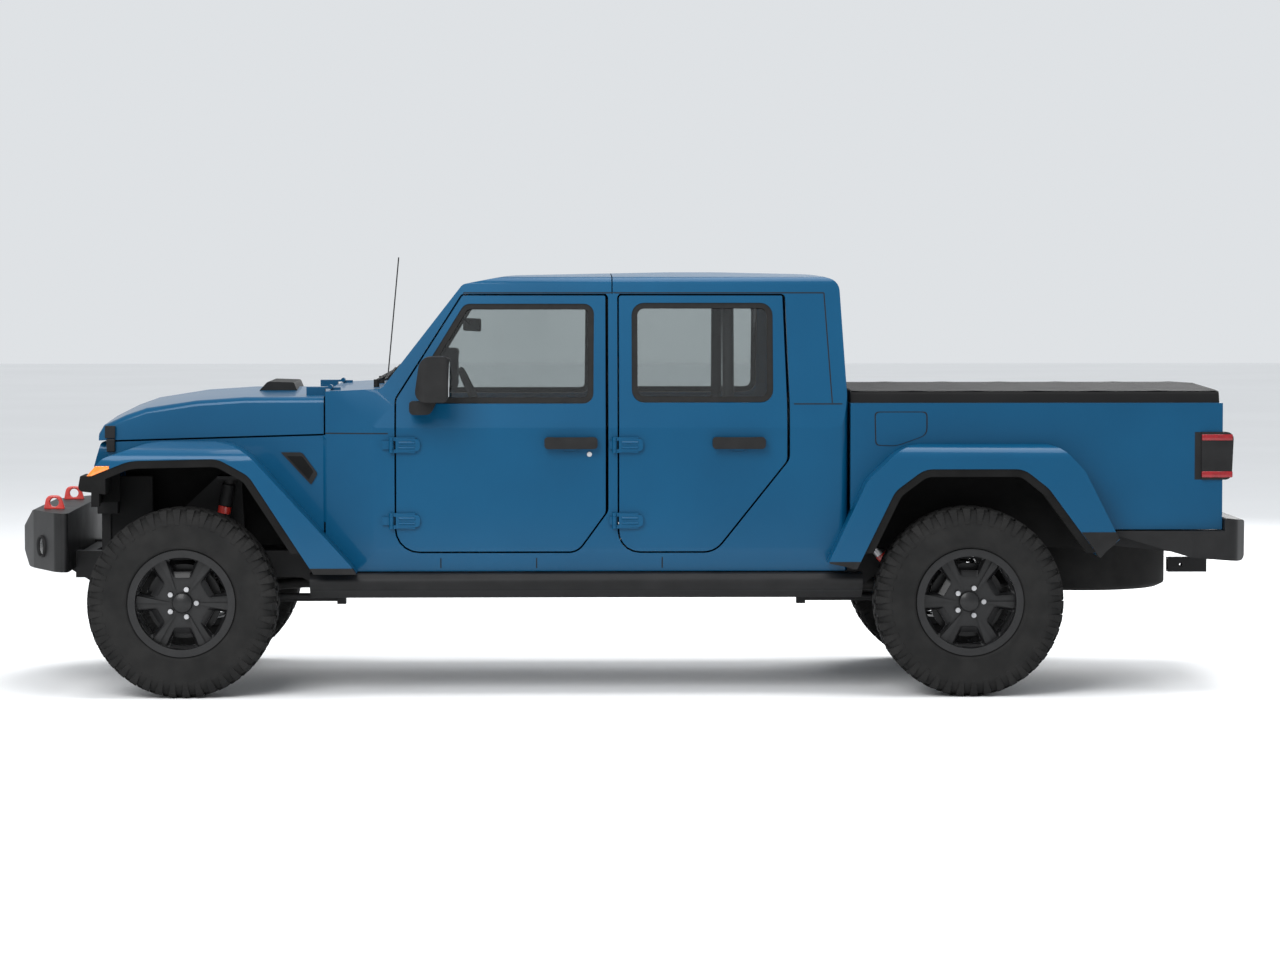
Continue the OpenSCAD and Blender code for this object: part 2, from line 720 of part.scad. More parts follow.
module tailgate() {
    gate_half = bed_in - 6;
    color(blue) union() {
        difference() {
            side_prism([[gate_x, bed_floor_z + 2, 0], [bed_rear_x, bed_floor_z + 2, 20],
                [bed_rear_x, bed_rail_z - 10, 20], [gate_x, bed_rail_z - 10, 0]], -gate_half, gate_half);
            section_prism(box_outline(-gate_half + 90, gate_half - 90, bed_floor_z + 90, bed_rail_z - 90, 40),
                bed_rear_x - 14, bed_rear_x + 1);
        }
        both() {
            rod([gate_axis_x, -bed_in - 10, gate_axis_z], [gate_axis_x, -gate_half + 30, gate_axis_z], gate_pin_r);
            block(gate_axis_x - gate_pin_r, gate_axis_x + gate_pin_r, -gate_half, -gate_half + 30, gate_axis_z,
                bed_floor_z + 20);
        }
    }
}
module tonneau_cover() {
    top = bed_rail_z + tonneau_h;
    color(black) section_prism([[-bed_in - 24, bed_rail_z, 0], [bed_in + 24, bed_rail_z, 0],
        [bed_in + 4, top - 14, 20], [0, top, 3000], [-bed_in - 4, top - 14, 20]], bed_x + 4, bed_rear_x - 8);
}
module tail_lamps() {
    color(red) both()
        difference() {
            side_prism([[bed_rear_x - tail_fore, lamp_low, 0], [bed_rear_x + 40, lamp_low, 30],
                [bed_rear_x + 49, lamp_high, 30], [bed_rear_x - tail_fore, lamp_high, 0]], -bed_half - 12, -bed_in - 14);
            block(bed_rear_x - tail_fore - 1, bed_rear_x - tail_fore + 30, -bed_half - 13, -bed_half,
                lamp_low - 1, lamp_high + 1);
        }
}

// Ladder frame: two rails that drop under the cab and rise over the rear axle.
rail_in = rails_w / 2 - rail_w;
rail_out = rails_w / 2;
front_rail_z = 620;
mid_rail_z = sill_z - 7;
rear_rail_z = 790;
rear_rail_h = rail_h - 30;
rail_start = front_x - 521;
rail_end = rear_x + 991;
arm_z = axle_z - 15;
arm_y = rail_out - 40;
front_arm_x = front_x + 660;
rear_arm_x = rear_x - 700;
tower_z = 965;
spring_top = 740;
rear_spring_top = rear_rail_z - rear_rail_h;
spring_y = rail_out + 68;
damper_y = spring_y + 22;
damper_top = rear_spring_top + 46;
// Cross-members: columns are X, bottom, top.
cross_members = [[rail_start + 40, front_rail_z - 70, front_rail_z - 10], [front_x + 180, 510, 560],
    [front_x + 1170, 430, 470], [front_x + 1690, 518, 540], [rear_x - 125, rear_rail_z - 70, rear_rail_z - 10],
    [rear_x + 590, rear_rail_z - 70, rear_rail_z - 20], [rail_end - 60, rear_rail_z - 80, rear_rail_z - 10]];
rail_profile = [[rail_start, front_rail_z - rail_h, 0], [front_x + 500, front_rail_z - rail_h, 60],
    [front_x + 620, mid_rail_z - rail_h, 60], [rear_x - 480, mid_rail_z - rail_h, 60],
    [rear_x - 150, rear_spring_top, 60], [rail_end, rear_spring_top, 0], [rail_end, rear_rail_z, 0],
    [rear_x - 190, rear_rail_z, 60], [rear_x - 530, mid_rail_z, 20], [front_x + 600, mid_rail_z, 20],
    [front_x + 480, front_rail_z, 60], [rail_start, front_rail_z, 0]];
module frame_rails() {
    color(black) union() {
        both() {
            side_prism(rail_profile, -rail_out, -rail_in);
            block(front_arm_x, front_arm_x + 40, -arm_y - 30, -arm_y + 30, arm_z - 30, mid_rail_z - 60);
            block(rear_arm_x - 40, rear_arm_x, -arm_y - 30, -arm_y + 30, arm_z - 30, mid_rail_z - 20);
            side_prism([[front_x - 70, front_rail_z - 40, 0], [front_x + 250, front_rail_z - 40, 0],
                [front_x + 230, tower_z, 20], [front_x + 130, tower_z, 20], [front_x - 70, spring_top + 40, 20]],
                -rail_out, -rail_out + 12);
            block(front_x - 70, front_x + 70, -spring_y - 74, -rail_out + 1, spring_top, spring_top + 20);
            block(front_x + 130, front_x + 230, -spring_y - 74, -rail_out + 1, tower_z - 15, tower_z);
            block(rear_x - 70, rear_x + 70, -spring_y - 74, -rail_out + 1, rear_spring_top, rear_spring_top + 14);
            side_prism([[rear_x - 430, mid_rail_z, 0], [rear_x - 320, mid_rail_z + 60, 0],
                [rear_x - 320, damper_top + 14, 10], [rear_x - 430, damper_top + 14, 10]], -rail_out, -rail_out + 12);
            block(rear_x - 425, rear_x - 325, -spring_y - 74, -rail_out + 1, damper_top, damper_top + 14);
            block(grille_x + 20, grille_x + 60, -rail_out, -rail_in, front_rail_z - 20, grille_low_z);
            for (x = [front_x + 800, front_x + 2500])
                translate([x, -rail_out + rail_w / 2, mid_rail_z - 10]) cylinder(h = sill_z - mid_rail_z + 10, r = 36);
            for (x = [rear_x - 140, rear_x + 300, rear_x + 900])
                translate([x, -rail_out + rail_w / 2, rear_rail_z - 10])
                    cylinder(h = bed_floor_z - bed_floor_t - rear_rail_z + 10, r = 36);
        }
        for (m = cross_members) block(m[0] - 30, m[0] + 30, -rail_in - 1, rail_in + 1, m[1], m[2]);
    }
}

// Bumpers.
bumper_x = front_x - front_overhang;
bumper_low = 545;
bumper_top = 808;
hook_y = 380;
hook_r = 20;
hook_t = 24;
module front_bumper() {
    color(black) union() {
        intersection() {
            side_prism([[bumper_x + 40, bumper_low, 15], [rail_start, bumper_low, 0], [rail_start, bumper_top, 0],
                [bumper_x + 70, bumper_top, 20], [bumper_x, bumper_top - 90, 15], [bumper_x, bumper_low + 70, 15]]);
            plan_prism([[bumper_x, -180, 150], [bumper_x + 74, -430, 150], [bumper_x + 200, -700, 60],
                [rail_start, -760, 20], [rail_start, 760, 20], [bumper_x + 200, 700, 60], [bumper_x + 74, 430, 150],
                [bumper_x, 180, 150]], 0, roof_z);
        }
        side_prism([[rail_start - 80, bumper_low + 12, 0], [rail_start + 100, bumper_low - 95, 0],
            [rail_start + 112, bumper_low - 88, 0], [rail_start - 25, bumper_low + 12, 0]], -330, 330);
    }
}
module tow_hooks() {
    x = rail_start - 100;
    color(red) both() difference() {
        side_prism([[x - 48, bumper_top, 0], [x + 48, bumper_top, 0], [x + 30, bumper_top + 62, 28],
            [x - 36, bumper_top + 62, 28]], -hook_y - hook_t / 2, -hook_y + hook_t / 2);
        rod([x, -hook_y - hook_t, bumper_top + 30], [x, -hook_y + hook_t, bumper_top + 30], hook_r);
    }
}
rear_bumper_x = rear_x + rear_overhang;
rear_step = 788;
rear_low = 590;
hitch_t = 8;
hitch_z = 520;
hitch_pin_x = rear_bumper_x - 180;
module rear_bumper() {
    corner_x = bed_rear_x - 140;
    outer = bed_half + 40;
    reach = hitch_w / 2 + hitch_t;
    color(black) difference() {
        union() {
            intersection() {
                side_prism([[rear_x + 665, bed_low_z - 26, 0], [corner_x, rear_low + 20, 30],
                    [rear_bumper_x, rear_low, 30], [rear_bumper_x, rear_step - 15, 20],
                    [bed_rear_x + 6, rear_step, 10], [bed_rear_x + 6, bed_low_z - 6, 0], [rear_x + 665, bed_low_z - 6, 0]]);
                difference() {
                    plan_prism([[rear_x + 500, -bed_half, 0], [corner_x, -outer, 40], [rear_bumper_x - 60, -outer, 60],
                        [rear_bumper_x, -bed_half + 90, 60], [rear_bumper_x, bed_half - 90, 60],
                        [rear_bumper_x - 60, outer, 60], [corner_x, outer, 40], [rear_x + 500, bed_half, 0]], 0, roof_z);
                    plan_prism(box_outline(rear_x, rear_bumper_x - 110, -bed_in, bed_in, 0), 0, roof_z);
                }
            }
            both() {
                block(rail_end, rear_bumper_x - 100, -rail_out, -rail_in, rear_spring_top, rear_step - 10);
                side_prism([[rear_x + 590, bed_low_z - 70, 0], [corner_x + 20, rear_low + 30, 0],
                    [corner_x + 20, bed_low_z - 7, 0], [rear_x + 590, bed_low_z - 7, 0]], -bed_in - 4, -bed_in + 70);
            }
            block(rear_bumper_x - 240, rear_bumper_x - 60, -reach, reach, hitch_z - reach, hitch_z + reach);
            block(rear_bumper_x - 110, rear_bumper_x - 70, -reach, reach, hitch_z, rear_low + 40);
        }
        block(rear_bumper_x - 250, rear_bumper_x, -hitch_w / 2, hitch_w / 2, hitch_z - hitch_w / 2, hitch_z + hitch_w / 2);
        rod([hitch_pin_x, -2 * reach, hitch_z], [hitch_pin_x, 2 * reach, hitch_z], hitch_pin_r);
    }
}

// Rock rails along the sills, on brackets from the frame.
module rock_rails() {
    top = sill_z - 6;
    color(black) both() union() {
        section_prism([[-cab_half + 60, rocker_z, 0], [-cab_half + 60, top, 0], [-cab_half - 20, top, 25],
            [-cab_half - 46, top - 34, 20], [-cab_half - 20, rocker_z + 40, 20]], front_x + 560, rear_x - 470);
        for (x = [front_x + 800, front_x + 1600, front_x + 2400])
            block(x - 30, x + 30, -cab_half + 60, -rail_out, rocker_z + 20, rocker_z + 60);
    }
}

// Axles. Spindles are on the knuckles in front and on the axle at the rear.
kingpin_y = track / 2 - kingpin_in;
yoke_h = 130;
yoke_t = 25;
kingpin_r = 16;
disc_z = -57;
disc_t = 22;
front_diff_y = -200;
perch_z = axle_z + 56;
damper_foot = 85;
module axle_brackets(x, dir) {
    both() {
        block(min(x, x + dir * 60), max(x, x + dir * 60), -arm_y - 20, -arm_y + 20, arm_z - 20, arm_z + 20);
        translate([x, -spring_y, axle_z]) cylinder(h = perch_z - axle_z, r = 30);
        translate([x, -spring_y, perch_z - 8]) cylinder(h = 8, r = 70);
        block(min(x, x + dir * 110), max(x, x + dir * 110), -damper_y - 20, -damper_y + 20, axle_z - 10, axle_z + 10);
    }
}
module front_axle() {
    color(grey) difference() {
        union() {
            rod([front_x, -kingpin_y + 70, axle_z], [front_x, kingpin_y - 70, axle_z], axle_r);
            translate([front_x, front_diff_y, axle_z]) sphere(r = diff_r);
            axle_brackets(front_x, 1);
            both() {
                block(front_x - 40, front_x + 40, -kingpin_y + 65, -kingpin_y + 90, axle_z - yoke_h - yoke_t,
                    axle_z + yoke_h + yoke_t);
                for (s = [-1, 1])
                    translate([front_x, -kingpin_y, axle_z + s * (yoke_h + yoke_t / 2) - yoke_t / 2]) {
                        cylinder(h = yoke_t, r = 32);
                        block(-32, 32, 0, 70, 0, yoke_t);
                    }
            }
        }
        both() translate([front_x, -kingpin_y, 0]) cylinder(h = 2 * axle_z, r = kingpin_r + seat_gap);
    }
}
module rear_axle() {
    inner = track / 2 + disc_z - 5;
    color(grey) union() {
        rod([rear_x, -inner, axle_z], [rear_x, inner, axle_z], axle_r);
        rod([rear_x, -track / 2 - 18, axle_z], [rear_x, track / 2 + 18, axle_z], spindle_r);
        translate([rear_x, 0, axle_z]) sphere(r = diff_r);
        axle_brackets(rear_x, -1);
    }
}
module knuckle(side) {
    color(grey) translate([front_x, side * kingpin_y, axle_z]) mirror([0, side > 0 ? 1 : 0, 0]) union() {
        side_prism(box_outline(-45, 45, -yoke_h + 6, yoke_h - 6, 20), -kingpin_in - disc_z + 5, 30);
        translate([0, 0, -yoke_h - yoke_t]) cylinder(h = 2 * (yoke_h + yoke_t), r = kingpin_r);
        rod([0, -kingpin_in - 18, 0], [0, 0, 0], spindle_r);
        block(-steer_arm - 26, -30, -26, 26, -18, 6);
        translate([-steer_arm, 0, -18]) cylinder(h = 70, r = 9);
    }
}
module knuckle_left() { knuckle(-1); }
module knuckle_right() { knuckle(1); }
module tie_rod() {
    z = axle_z + 28;
    color(grey) difference() {
        union() {
            rod([front_x - steer_arm, -kingpin_y, z], [front_x - steer_arm, kingpin_y, z], 17);
            both() translate([front_x - steer_arm, -kingpin_y, z - 17]) cylinder(h = 34, r = 22);
        }
        both() translate([front_x - steer_arm, -kingpin_y, 0]) cylinder(h = 2 * axle_z, r = 9 + seat_gap);
    }
}

// Links, coils and dampers.
module suspension_arms() {
    color(black) both() {
        rod([front_x + 60, -arm_y, arm_z], [front_arm_x, -arm_y, arm_z], 19);
        rod([rear_arm_x, -arm_y, arm_z], [rear_x - 60, -arm_y, arm_z], 19);
    }
}
coil_r = 58;
wire_r = 8;
coil_turns = 5;
coil_steps = 12;
wire_sides = 6;
module coil(h) {
    rise = h - 2 * wire_r - 0.2;
    n = coil_turns * coil_steps;
    rings = [for (i = [0:n]) [for (j = [0:wire_sides - 1])
        let(a = 360 * i / coil_steps, b = 360 * (j + 0.5) / wire_sides, r = coil_r + wire_r * cos(b))
        [r * cos(a), r * sin(a), wire_r + 0.1 + rise * i / n - wire_r * sin(b)]]];
    loft(rings);
}
module damper(foot, head, r) {
    waist = foot + (head - foot) * 0.42;
    rod(foot, head, 12);
    rod(waist, head, r);
}
module springs_and_dampers() {
    color(silver) both() {
        translate([front_x, -spring_y, perch_z]) coil(spring_top - perch_z);
        translate([rear_x, -spring_y, perch_z]) coil(rear_spring_top - perch_z);
        intersection() {
            damper([front_x + damper_foot, -damper_y, axle_z], [front_x + 190, -damper_y, tower_z], 28);
            block(-wide, wide, -wide, 0, axle_z + 10, tower_z - 15);
        }
        intersection() {
            damper([rear_x - damper_foot, -damper_y, axle_z], [rear_x - 385, -damper_y, rear_rail_z], 28);
            block(-wide, wide, -wide, 0, axle_z + 10, damper_top);
        }
    }
}

// Powertrain, shafts, exhaust, tank and spare.
gearbox_end = front_x + 1280;
module powertrain() {
    color(grey) union() {
        block(front_x - 170, front_x + 530, -270, 270, 560, 1060);
        block(front_x + 520, gearbox_end, -150, 150, 470, 780);
        block(front_x + 1200, gearbox_end, -240, 150, 470, sill_z - 7);
    }
}
module driveshafts() {
    color(silver) {
        intersection() {
            rod([gearbox_end - 20, 0, 495], [rear_x, 0, axle_z], 32);
            block(gearbox_end, rear_x - diff_r - 1, -100, 100, 0, 800);
        }
        intersection() {
            rod([front_x, front_diff_y, axle_z], [front_x + 1230, front_diff_y + 5, 512], 24);
            block(front_x + diff_r + 1, front_x + 1200, -400, 0, 0, 800);
        }
    }
}
exhaust_y = 240;
pipe_r = 30;
// Pipe runs: columns are start X, start Z, end X, end Z, radius.
pipe_runs = [[front_x + 450, 562, front_x + 450, 505, pipe_r], [front_x + 450, 505, front_x + 1250, 503, pipe_r],
    [front_x + 1250, 503, rear_x - 1150, 462, pipe_r], [rear_x - 1150, 462, rear_x - 700, 462, 75],
    [rear_x - 700, 462, rear_x - 510, 478, pipe_r], [rear_x - 510, 478, rear_x - 320, 620, pipe_r],
    [rear_x - 320, 620, rear_x + 110, 620, pipe_r]];
module exhaust() {
    color(silver) difference() {
        union() {
            for (p = pipe_runs) {
                rod([p[0], exhaust_y, p[1]], [p[2], exhaust_y, p[3]], p[4]);
                translate([p[0], exhaust_y, p[1]]) sphere(r = pipe_r);
            }
            block(front_x + 1680, front_x + 1700, exhaust_y - 10, exhaust_y + 10, 480, 518);
        }
        block(front_x, front_x + 600, 0, wide, 560, roof_z);
    }
}
module fuel_tank() {
    color(black) side_prism(box_outline(front_x + 1750, front_x + 2720, 400, mid_rail_z - 10, 40), -rail_in, -70);
}
spare_x = rear_x + 575;
spare_z = 425 + tyre_w / 2;
module spare_wheel() {
    color(black) translate([spare_x, 0, spare_z]) union() {
        rotate_extrude() polygon(rounded(tyre_outline));
        translate([0, 0, 20]) cylinder(h = 20, r = rim_r);
        translate([0, 0, 20]) cylinder(h = rear_rail_z - 70 - spare_z - 20, r = 20);
    }
}

// Wheels, modelled about Z with the outer face up. Outlines are [radius, height, corner radius].
bead_r = rim_r - 19;
flange_z = tyre_w / 2 - 22;
flange_t = 10;
barrel_t = 13;
tread_half = tyre_w / 2 - 20;
tyre_outline = [[bead_r + seat_gap, -flange_z + seat_gap, 0], [rim_r + 2, -flange_z + seat_gap, 0],
    [rim_r + 6, -tyre_w / 2 + 6, 6], [(tyre_r + rim_r) / 2, -tyre_w / 2, 60], [tyre_r - 34, -tyre_w / 2 + 4, 16],
    [tyre_r, -tread_half, 14], [tyre_r, tread_half, 14], [tyre_r - 34, tyre_w / 2 - 4, 16],
    [(tyre_r + rim_r) / 2, tyre_w / 2, 60], [rim_r + 6, tyre_w / 2 - 6, 6], [rim_r + 2, flange_z - seat_gap, 0],
    [bead_r + seat_gap, flange_z - seat_gap, 0]];
face_z = 62;
face_t = 30;
hub_r = 76;
window_in = hub_r + 62;
window_out = bead_r - 17;
module at_wheel(x, side) {
    translate([x, side * track / 2, axle_z]) rotate([side < 0 ? 90 : -90, 0, 0]) children();
}
module tyre(x, side) {
    color(black) at_wheel(x, side) rotate_extrude() polygon(rounded(tyre_outline));
}
// Trapezoid window between two spokes.
module rim_window() {
    half_in = window_in * tan(180 / spoke_count) - 38;
    half_out = window_out * tan(180 / spoke_count) - 52;
    linear_extrude(200, center = true)
        polygon(rounded([[window_in, -half_in, 8], [window_out, -half_out, 16], [window_out, half_out, 16],
            [window_in, half_in, 8]], 3));
}
module rim(x, side) {
    outer = flange_z + flange_t;
    color(black) at_wheel(x, side) difference() {
        union() {
            rotate_extrude() polygon([[bead_r - barrel_t, -outer], [rim_r, -outer], [rim_r, -flange_z],
                [bead_r, -flange_z], [bead_r, flange_z], [rim_r, flange_z], [rim_r, outer], [bead_r - barrel_t, outer]]);
            difference() {
                translate([0, 0, face_z - face_t]) cylinder(h = face_t, r = bead_r - barrel_t / 2);
                for (i = [0:spoke_count - 1]) rotate(360 * (i + 0.5) / spoke_count) rim_window();
            }
            translate([0, 0, disc_z]) cylinder(h = face_z - disc_z, r = hub_r);
            translate([0, 0, face_z]) cylinder(h = 14, r = 36);
            translate([0, 0, disc_z]) cylinder(h = disc_t, r = disc_d / 2);
        }
        translate([0, 0, disc_z - 1]) cylinder(h = -disc_z + 20 + 1, r = spindle_r + seat_gap);
    }
}
module tyre_fl() { tyre(front_x, -1); }
module tyre_fr() { tyre(front_x, 1); }
module tyre_rl() { tyre(rear_x, -1); }
module tyre_rr() { tyre(rear_x, 1); }
module rim_fl() { rim(front_x, -1); }
module rim_fr() { rim(front_x, 1); }
module rim_rl() { rim(rear_x, -1); }
module rim_rr() { rim(rear_x, 1); }

// Cabin.
seat_w = 400;
seat_y = 410;
module seat(x, y, w) {
    side_prism([[x, floor_z, 0], [x + 440, floor_z, 0], [x + 470, floor_z + 240, 50], [x + 585, floor_z + 690, 40],
        [x + 480, floor_z + 700, 40], [x + 350, floor_z + 270, 30], [x - 30, floor_z + 290, 60],
        [x - 30, floor_z + 150, 30]], y - w / 2, y + w / 2);
    side_prism([[x + 500, floor_z + 690, 0], [x + 560, floor_z + 690, 0], [x + 600, floor_z + 860, 40],
        [x + 510, floor_z + 870, 40]], y - 130, y + 130);
}
module seats() {
    color([0.12, 0.12, 0.13]) {
        for (side = [-1, 1]) union() seat(front_x + 1390, side * seat_y, seat_w);
        union() seat(front_x + 2270, 0, 1160);
    }
}
wheel_x = front_x + 1300;
wheel_y = -seat_y;
wheel_z = floor_z + 650;
wheel_tilt = 25;
module dashboard() {
    x = cowl_x + wall_t;
    color([0.12, 0.12, 0.13]) union() {
        side_prism([[x, floor_z + 380, 0], [x + 250, floor_z + 360, 40], [x + 380, floor_z + 540, 60],
            [x + 330, floor_z + 660, 60], [x + 150, floor_z + 680, 60], [x, floor_z + 680, 0]],
            -cab_half + wall_t + 24, cab_half - wall_t - 24);
        translate([wheel_x, wheel_y, wheel_z]) rotate([0, 90 - wheel_tilt, 0]) {
            rotate_extrude() translate([178, 0]) circle(r = 15);
            translate([0, 0, -260]) cylinder(h = 270, r = 32);
            for (a = [90, 210, 330]) rotate(a) block(0, 172, -20, 20, -10, 8);
        }
    }
}
hoop_x = [seam_x, front_x + 2425];
bar_y = roof_half - 95;
bar_z = gutter_z - 35;
module roll_bar() {
    foot_y = cab_half - wall_t - bar_r - 26;
    color(black) union() {
        for (x = hoop_x) {
            both() {
                rod([x, -foot_y, floor_z], [x, -foot_y, belt_z], bar_r);
                translate([x, -foot_y, belt_z]) sphere(r = bar_r + 4);
                rod([x, -foot_y, belt_z], [x, -bar_y, bar_z], bar_r);
                translate([x, -bar_y, bar_z]) sphere(r = bar_r + 4);
            }
            rod([x, -bar_y, bar_z], [x, bar_y, bar_z], bar_r);
        }
        both() rod([head_x + 90, -bar_y, bar_z], [hoop_x[1], -bar_y, bar_z], bar_r);
    }
}
mast_y = 700;
mast_tip_z = 1950;
module wipers_and_antenna() {
    mast_x = foot_x - 30;
    slope = (head_x - foot_x) / (header_z - foot_z);
    color(black) {
        for (y = [-420, 160]) difference() {
            union() {
                translate([foot_x - 36, y, cowl_z]) cylinder(h = 44, r = 13);
                rod([foot_x - 36, y, cowl_z + 38], [foot_x + 54 * slope - 23, y + 330, foot_z + 54], 7);
                rod([foot_x + 30 * slope - 24, y + 60, foot_z + 30], [foot_x + 70 * slope - 22, y + 500, foot_z + 70], 6);
            }
            cab_solid();
        }
        difference() {
            union() {
                translate([mast_x, mast_y, cowl_z]) cylinder(h = 34, r = 14);
                rod([mast_x, mast_y, cowl_z + 20], [mast_x + 54, mast_y, mast_tip_z], 3);
            }
            cab_solid();
        }
    }
}

frame_rails();
front_bumper();
tow_hooks();
rear_bumper();
cab_tub();
windshield_frame();
fixed_glass();
roof_panels();
grille_panel();
front_lamps();
front_fenders();
arch_liners();
rock_rails();
bed_box();
tonneau_cover();
tail_lamps();
seats();
dashboard();
roll_bar();
powertrain();
exhaust();
fuel_tank();
spare_wheel();
front_axle();
rear_axle();
suspension_arms();
springs_and_dampers();
driveshafts();
wipers_and_antenna();
hood();
hood_fittings();
tailgate();
tie_rod();
knuckle_left();
knuckle_right();
door_fl();
door_fr();
door_rl();
door_rr();
door_fl_glass();
door_fr_glass();
door_rl_glass();
door_rr_glass();
door_fl_fittings();
door_fr_fittings();
door_rl_fittings();
door_rr_fittings();
tyre_fl();
tyre_fr();
tyre_rl();
tyre_rr();
rim_fl();
rim_fr();
rim_rl();
rim_rr();
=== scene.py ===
import json
import math

import bmesh
import bpy
from mathutils import Matrix, Vector


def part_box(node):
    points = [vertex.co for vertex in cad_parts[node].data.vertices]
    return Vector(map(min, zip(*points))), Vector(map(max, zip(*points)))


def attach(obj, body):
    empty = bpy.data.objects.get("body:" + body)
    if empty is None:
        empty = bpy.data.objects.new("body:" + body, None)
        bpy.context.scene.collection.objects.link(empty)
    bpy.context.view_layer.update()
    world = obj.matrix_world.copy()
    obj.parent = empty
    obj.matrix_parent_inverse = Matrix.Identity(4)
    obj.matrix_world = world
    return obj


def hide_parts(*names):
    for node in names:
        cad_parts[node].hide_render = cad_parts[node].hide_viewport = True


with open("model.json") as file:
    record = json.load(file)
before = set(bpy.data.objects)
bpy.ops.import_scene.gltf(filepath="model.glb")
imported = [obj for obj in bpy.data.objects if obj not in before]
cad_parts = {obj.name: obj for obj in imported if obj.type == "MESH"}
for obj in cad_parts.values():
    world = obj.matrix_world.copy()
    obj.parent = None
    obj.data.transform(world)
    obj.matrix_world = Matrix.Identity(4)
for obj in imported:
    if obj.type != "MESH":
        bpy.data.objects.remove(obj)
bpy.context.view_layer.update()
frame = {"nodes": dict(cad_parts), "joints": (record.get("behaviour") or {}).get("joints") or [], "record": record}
nodes = frame["nodes"]
joints = {joint["name"]: joint for joint in frame["joints"]}
leftRight = (-1, 1)  # signs of Y on the two sides; X runs along the truck to the rear, Z up, all in metres
print("frame loaded")


# Materials: colour and roughness vary with noise in object coordinates
finishes = {
    "bodyPaint": {"dark": (0.0006, 0.050, 0.115), "light": (0.0009, 0.057, 0.129), "rough": (0.30, 0.36),
                  "metallic": 0.1, "coat": 0.22, "specular": 0.12, "scale": 2.0, "bump": 0.004, "grain": 900},
    "blackSteel": {"dark": (0.005, 0.005, 0.0053), "light": (0.010, 0.010, 0.0105), "rough": (0.42, 0.58),
                   "specular": 0.22, "scale": 9.0, "bump": 0.05, "grain": 420},
    "blackPlastic": {"dark": (0.006, 0.006, 0.0063), "light": (0.011, 0.011, 0.0114), "rough": (0.55, 0.70),
                     "specular": 0.20, "scale": 14.0, "bump": 0.10, "grain": 700},
    "linerPlastic": {"dark": (0.004, 0.004, 0.004), "light": (0.008, 0.008, 0.008), "rough": (0.75, 0.9),
                     "specular": 0.12, "scale": 10.0, "bump": 0.10, "grain": 500},
    "hookRed": {"dark": (0.42, 0.018, 0.012), "light": (0.55, 0.026, 0.016), "rough": (0.28, 0.4),
                "coat": 0.6, "scale": 20.0, "bump": 0.02, "grain": 300},
    "castSteel": {"dark": (0.014, 0.014, 0.0145), "light": (0.034, 0.033, 0.032), "rough": (0.5, 0.75),
                  "metallic": 0.6, "scale": 18.0, "bump": 0.25, "grain": 240},
    "brightSteel": {"dark": (0.30, 0.30, 0.31), "light": (0.48, 0.48, 0.49), "rough": (0.28, 0.46),
                    "metallic": 1.0, "scale": 22.0, "bump": 0.05, "grain": 500},
    "tyreRubber": {"dark": (0.008, 0.008, 0.008), "light": (0.015, 0.0147, 0.0144), "rough": (0.72, 0.88),
                   "specular": 0.16, "scale": 12.0, "bump": 0.12, "grain": 420},
    "rimBlack": {"dark": (0.005, 0.005, 0.0053), "light": (0.009, 0.009, 0.0095), "rough": (0.33, 0.44),
                 "coat": 0.08, "specular": 0.28, "scale": 16.0, "bump": 0.03, "grain": 600},
    "sealRubber": {"dark": (0.006, 0.006, 0.006), "light": (0.011, 0.011, 0.011), "rough": (0.6, 0.75),
                   "specular": 0.18, "scale": 30.0, "bump": 0.05, "grain": 500},
    "seatCloth": {"dark": (0.012, 0.012, 0.013), "light": (0.024, 0.024, 0.025), "rough": (0.85, 0.95),
                  "scale": 40.0, "bump": 0.3, "grain": 900},
    "tonneauVinyl": {"dark": (0.004, 0.004, 0.0042), "light": (0.007, 0.007, 0.0072), "rough": (0.72, 0.82),
                     "specular": 0.16, "scale": 6.0, "bump": 0.18, "grain": 650},
    "amberLens": {"dark": (0.75, 0.17, 0.012), "light": (0.88, 0.23, 0.02), "rough": (0.12, 0.2),
                  "coat": 0.8, "scale": 60.0, "bump": 0.05, "grain": 160},
    "redLens": {"dark": (0.17, 0.003, 0.006), "light": (0.25, 0.005, 0.010), "rough": (0.12, 0.2),
                "coat": 0.4, "specular": 0.3, "scale": 60.0, "bump": 0.05, "grain": 160},
    "lampReflector": {"dark": (0.62, 0.62, 0.63), "light": (0.80, 0.80, 0.81), "rough": (0.08, 0.16),
                      "metallic": 1.0, "scale": 40.0, "bump": 0.04, "grain": 90},
    "mirrorGlass": {"dark": (0.74, 0.75, 0.76), "light": (0.80, 0.81, 0.82), "rough": (0.02, 0.04),
                    "metallic": 1.0, "scale": 4.0},
    "floorPale": {"dark": (0.88, 0.885, 0.89), "light": (0.91, 0.915, 0.92), "rough": (0.8, 0.9),
                  "scale": 0.4, "bump": 0.02, "grain": 30},
}
plainFinish = {"metallic": 0.0, "coat": 0.0, "specular": 0.5, "bump": 0.0}  # where a finish says nothing
pattern = {"detail": 4.0, "ramp": (0.3, 0.7), "coatRough": 0.04, "bumpDepth": 0.002}
glass = {"rough": (0.015, 0.03), "scale": 2.0, "shade": 0.94, "ior": 1.45,
         "tints": {"windowGlass": (0.62, 0.66, 0.66), "lampGlass": (0.95, 0.95, 0.95)}}
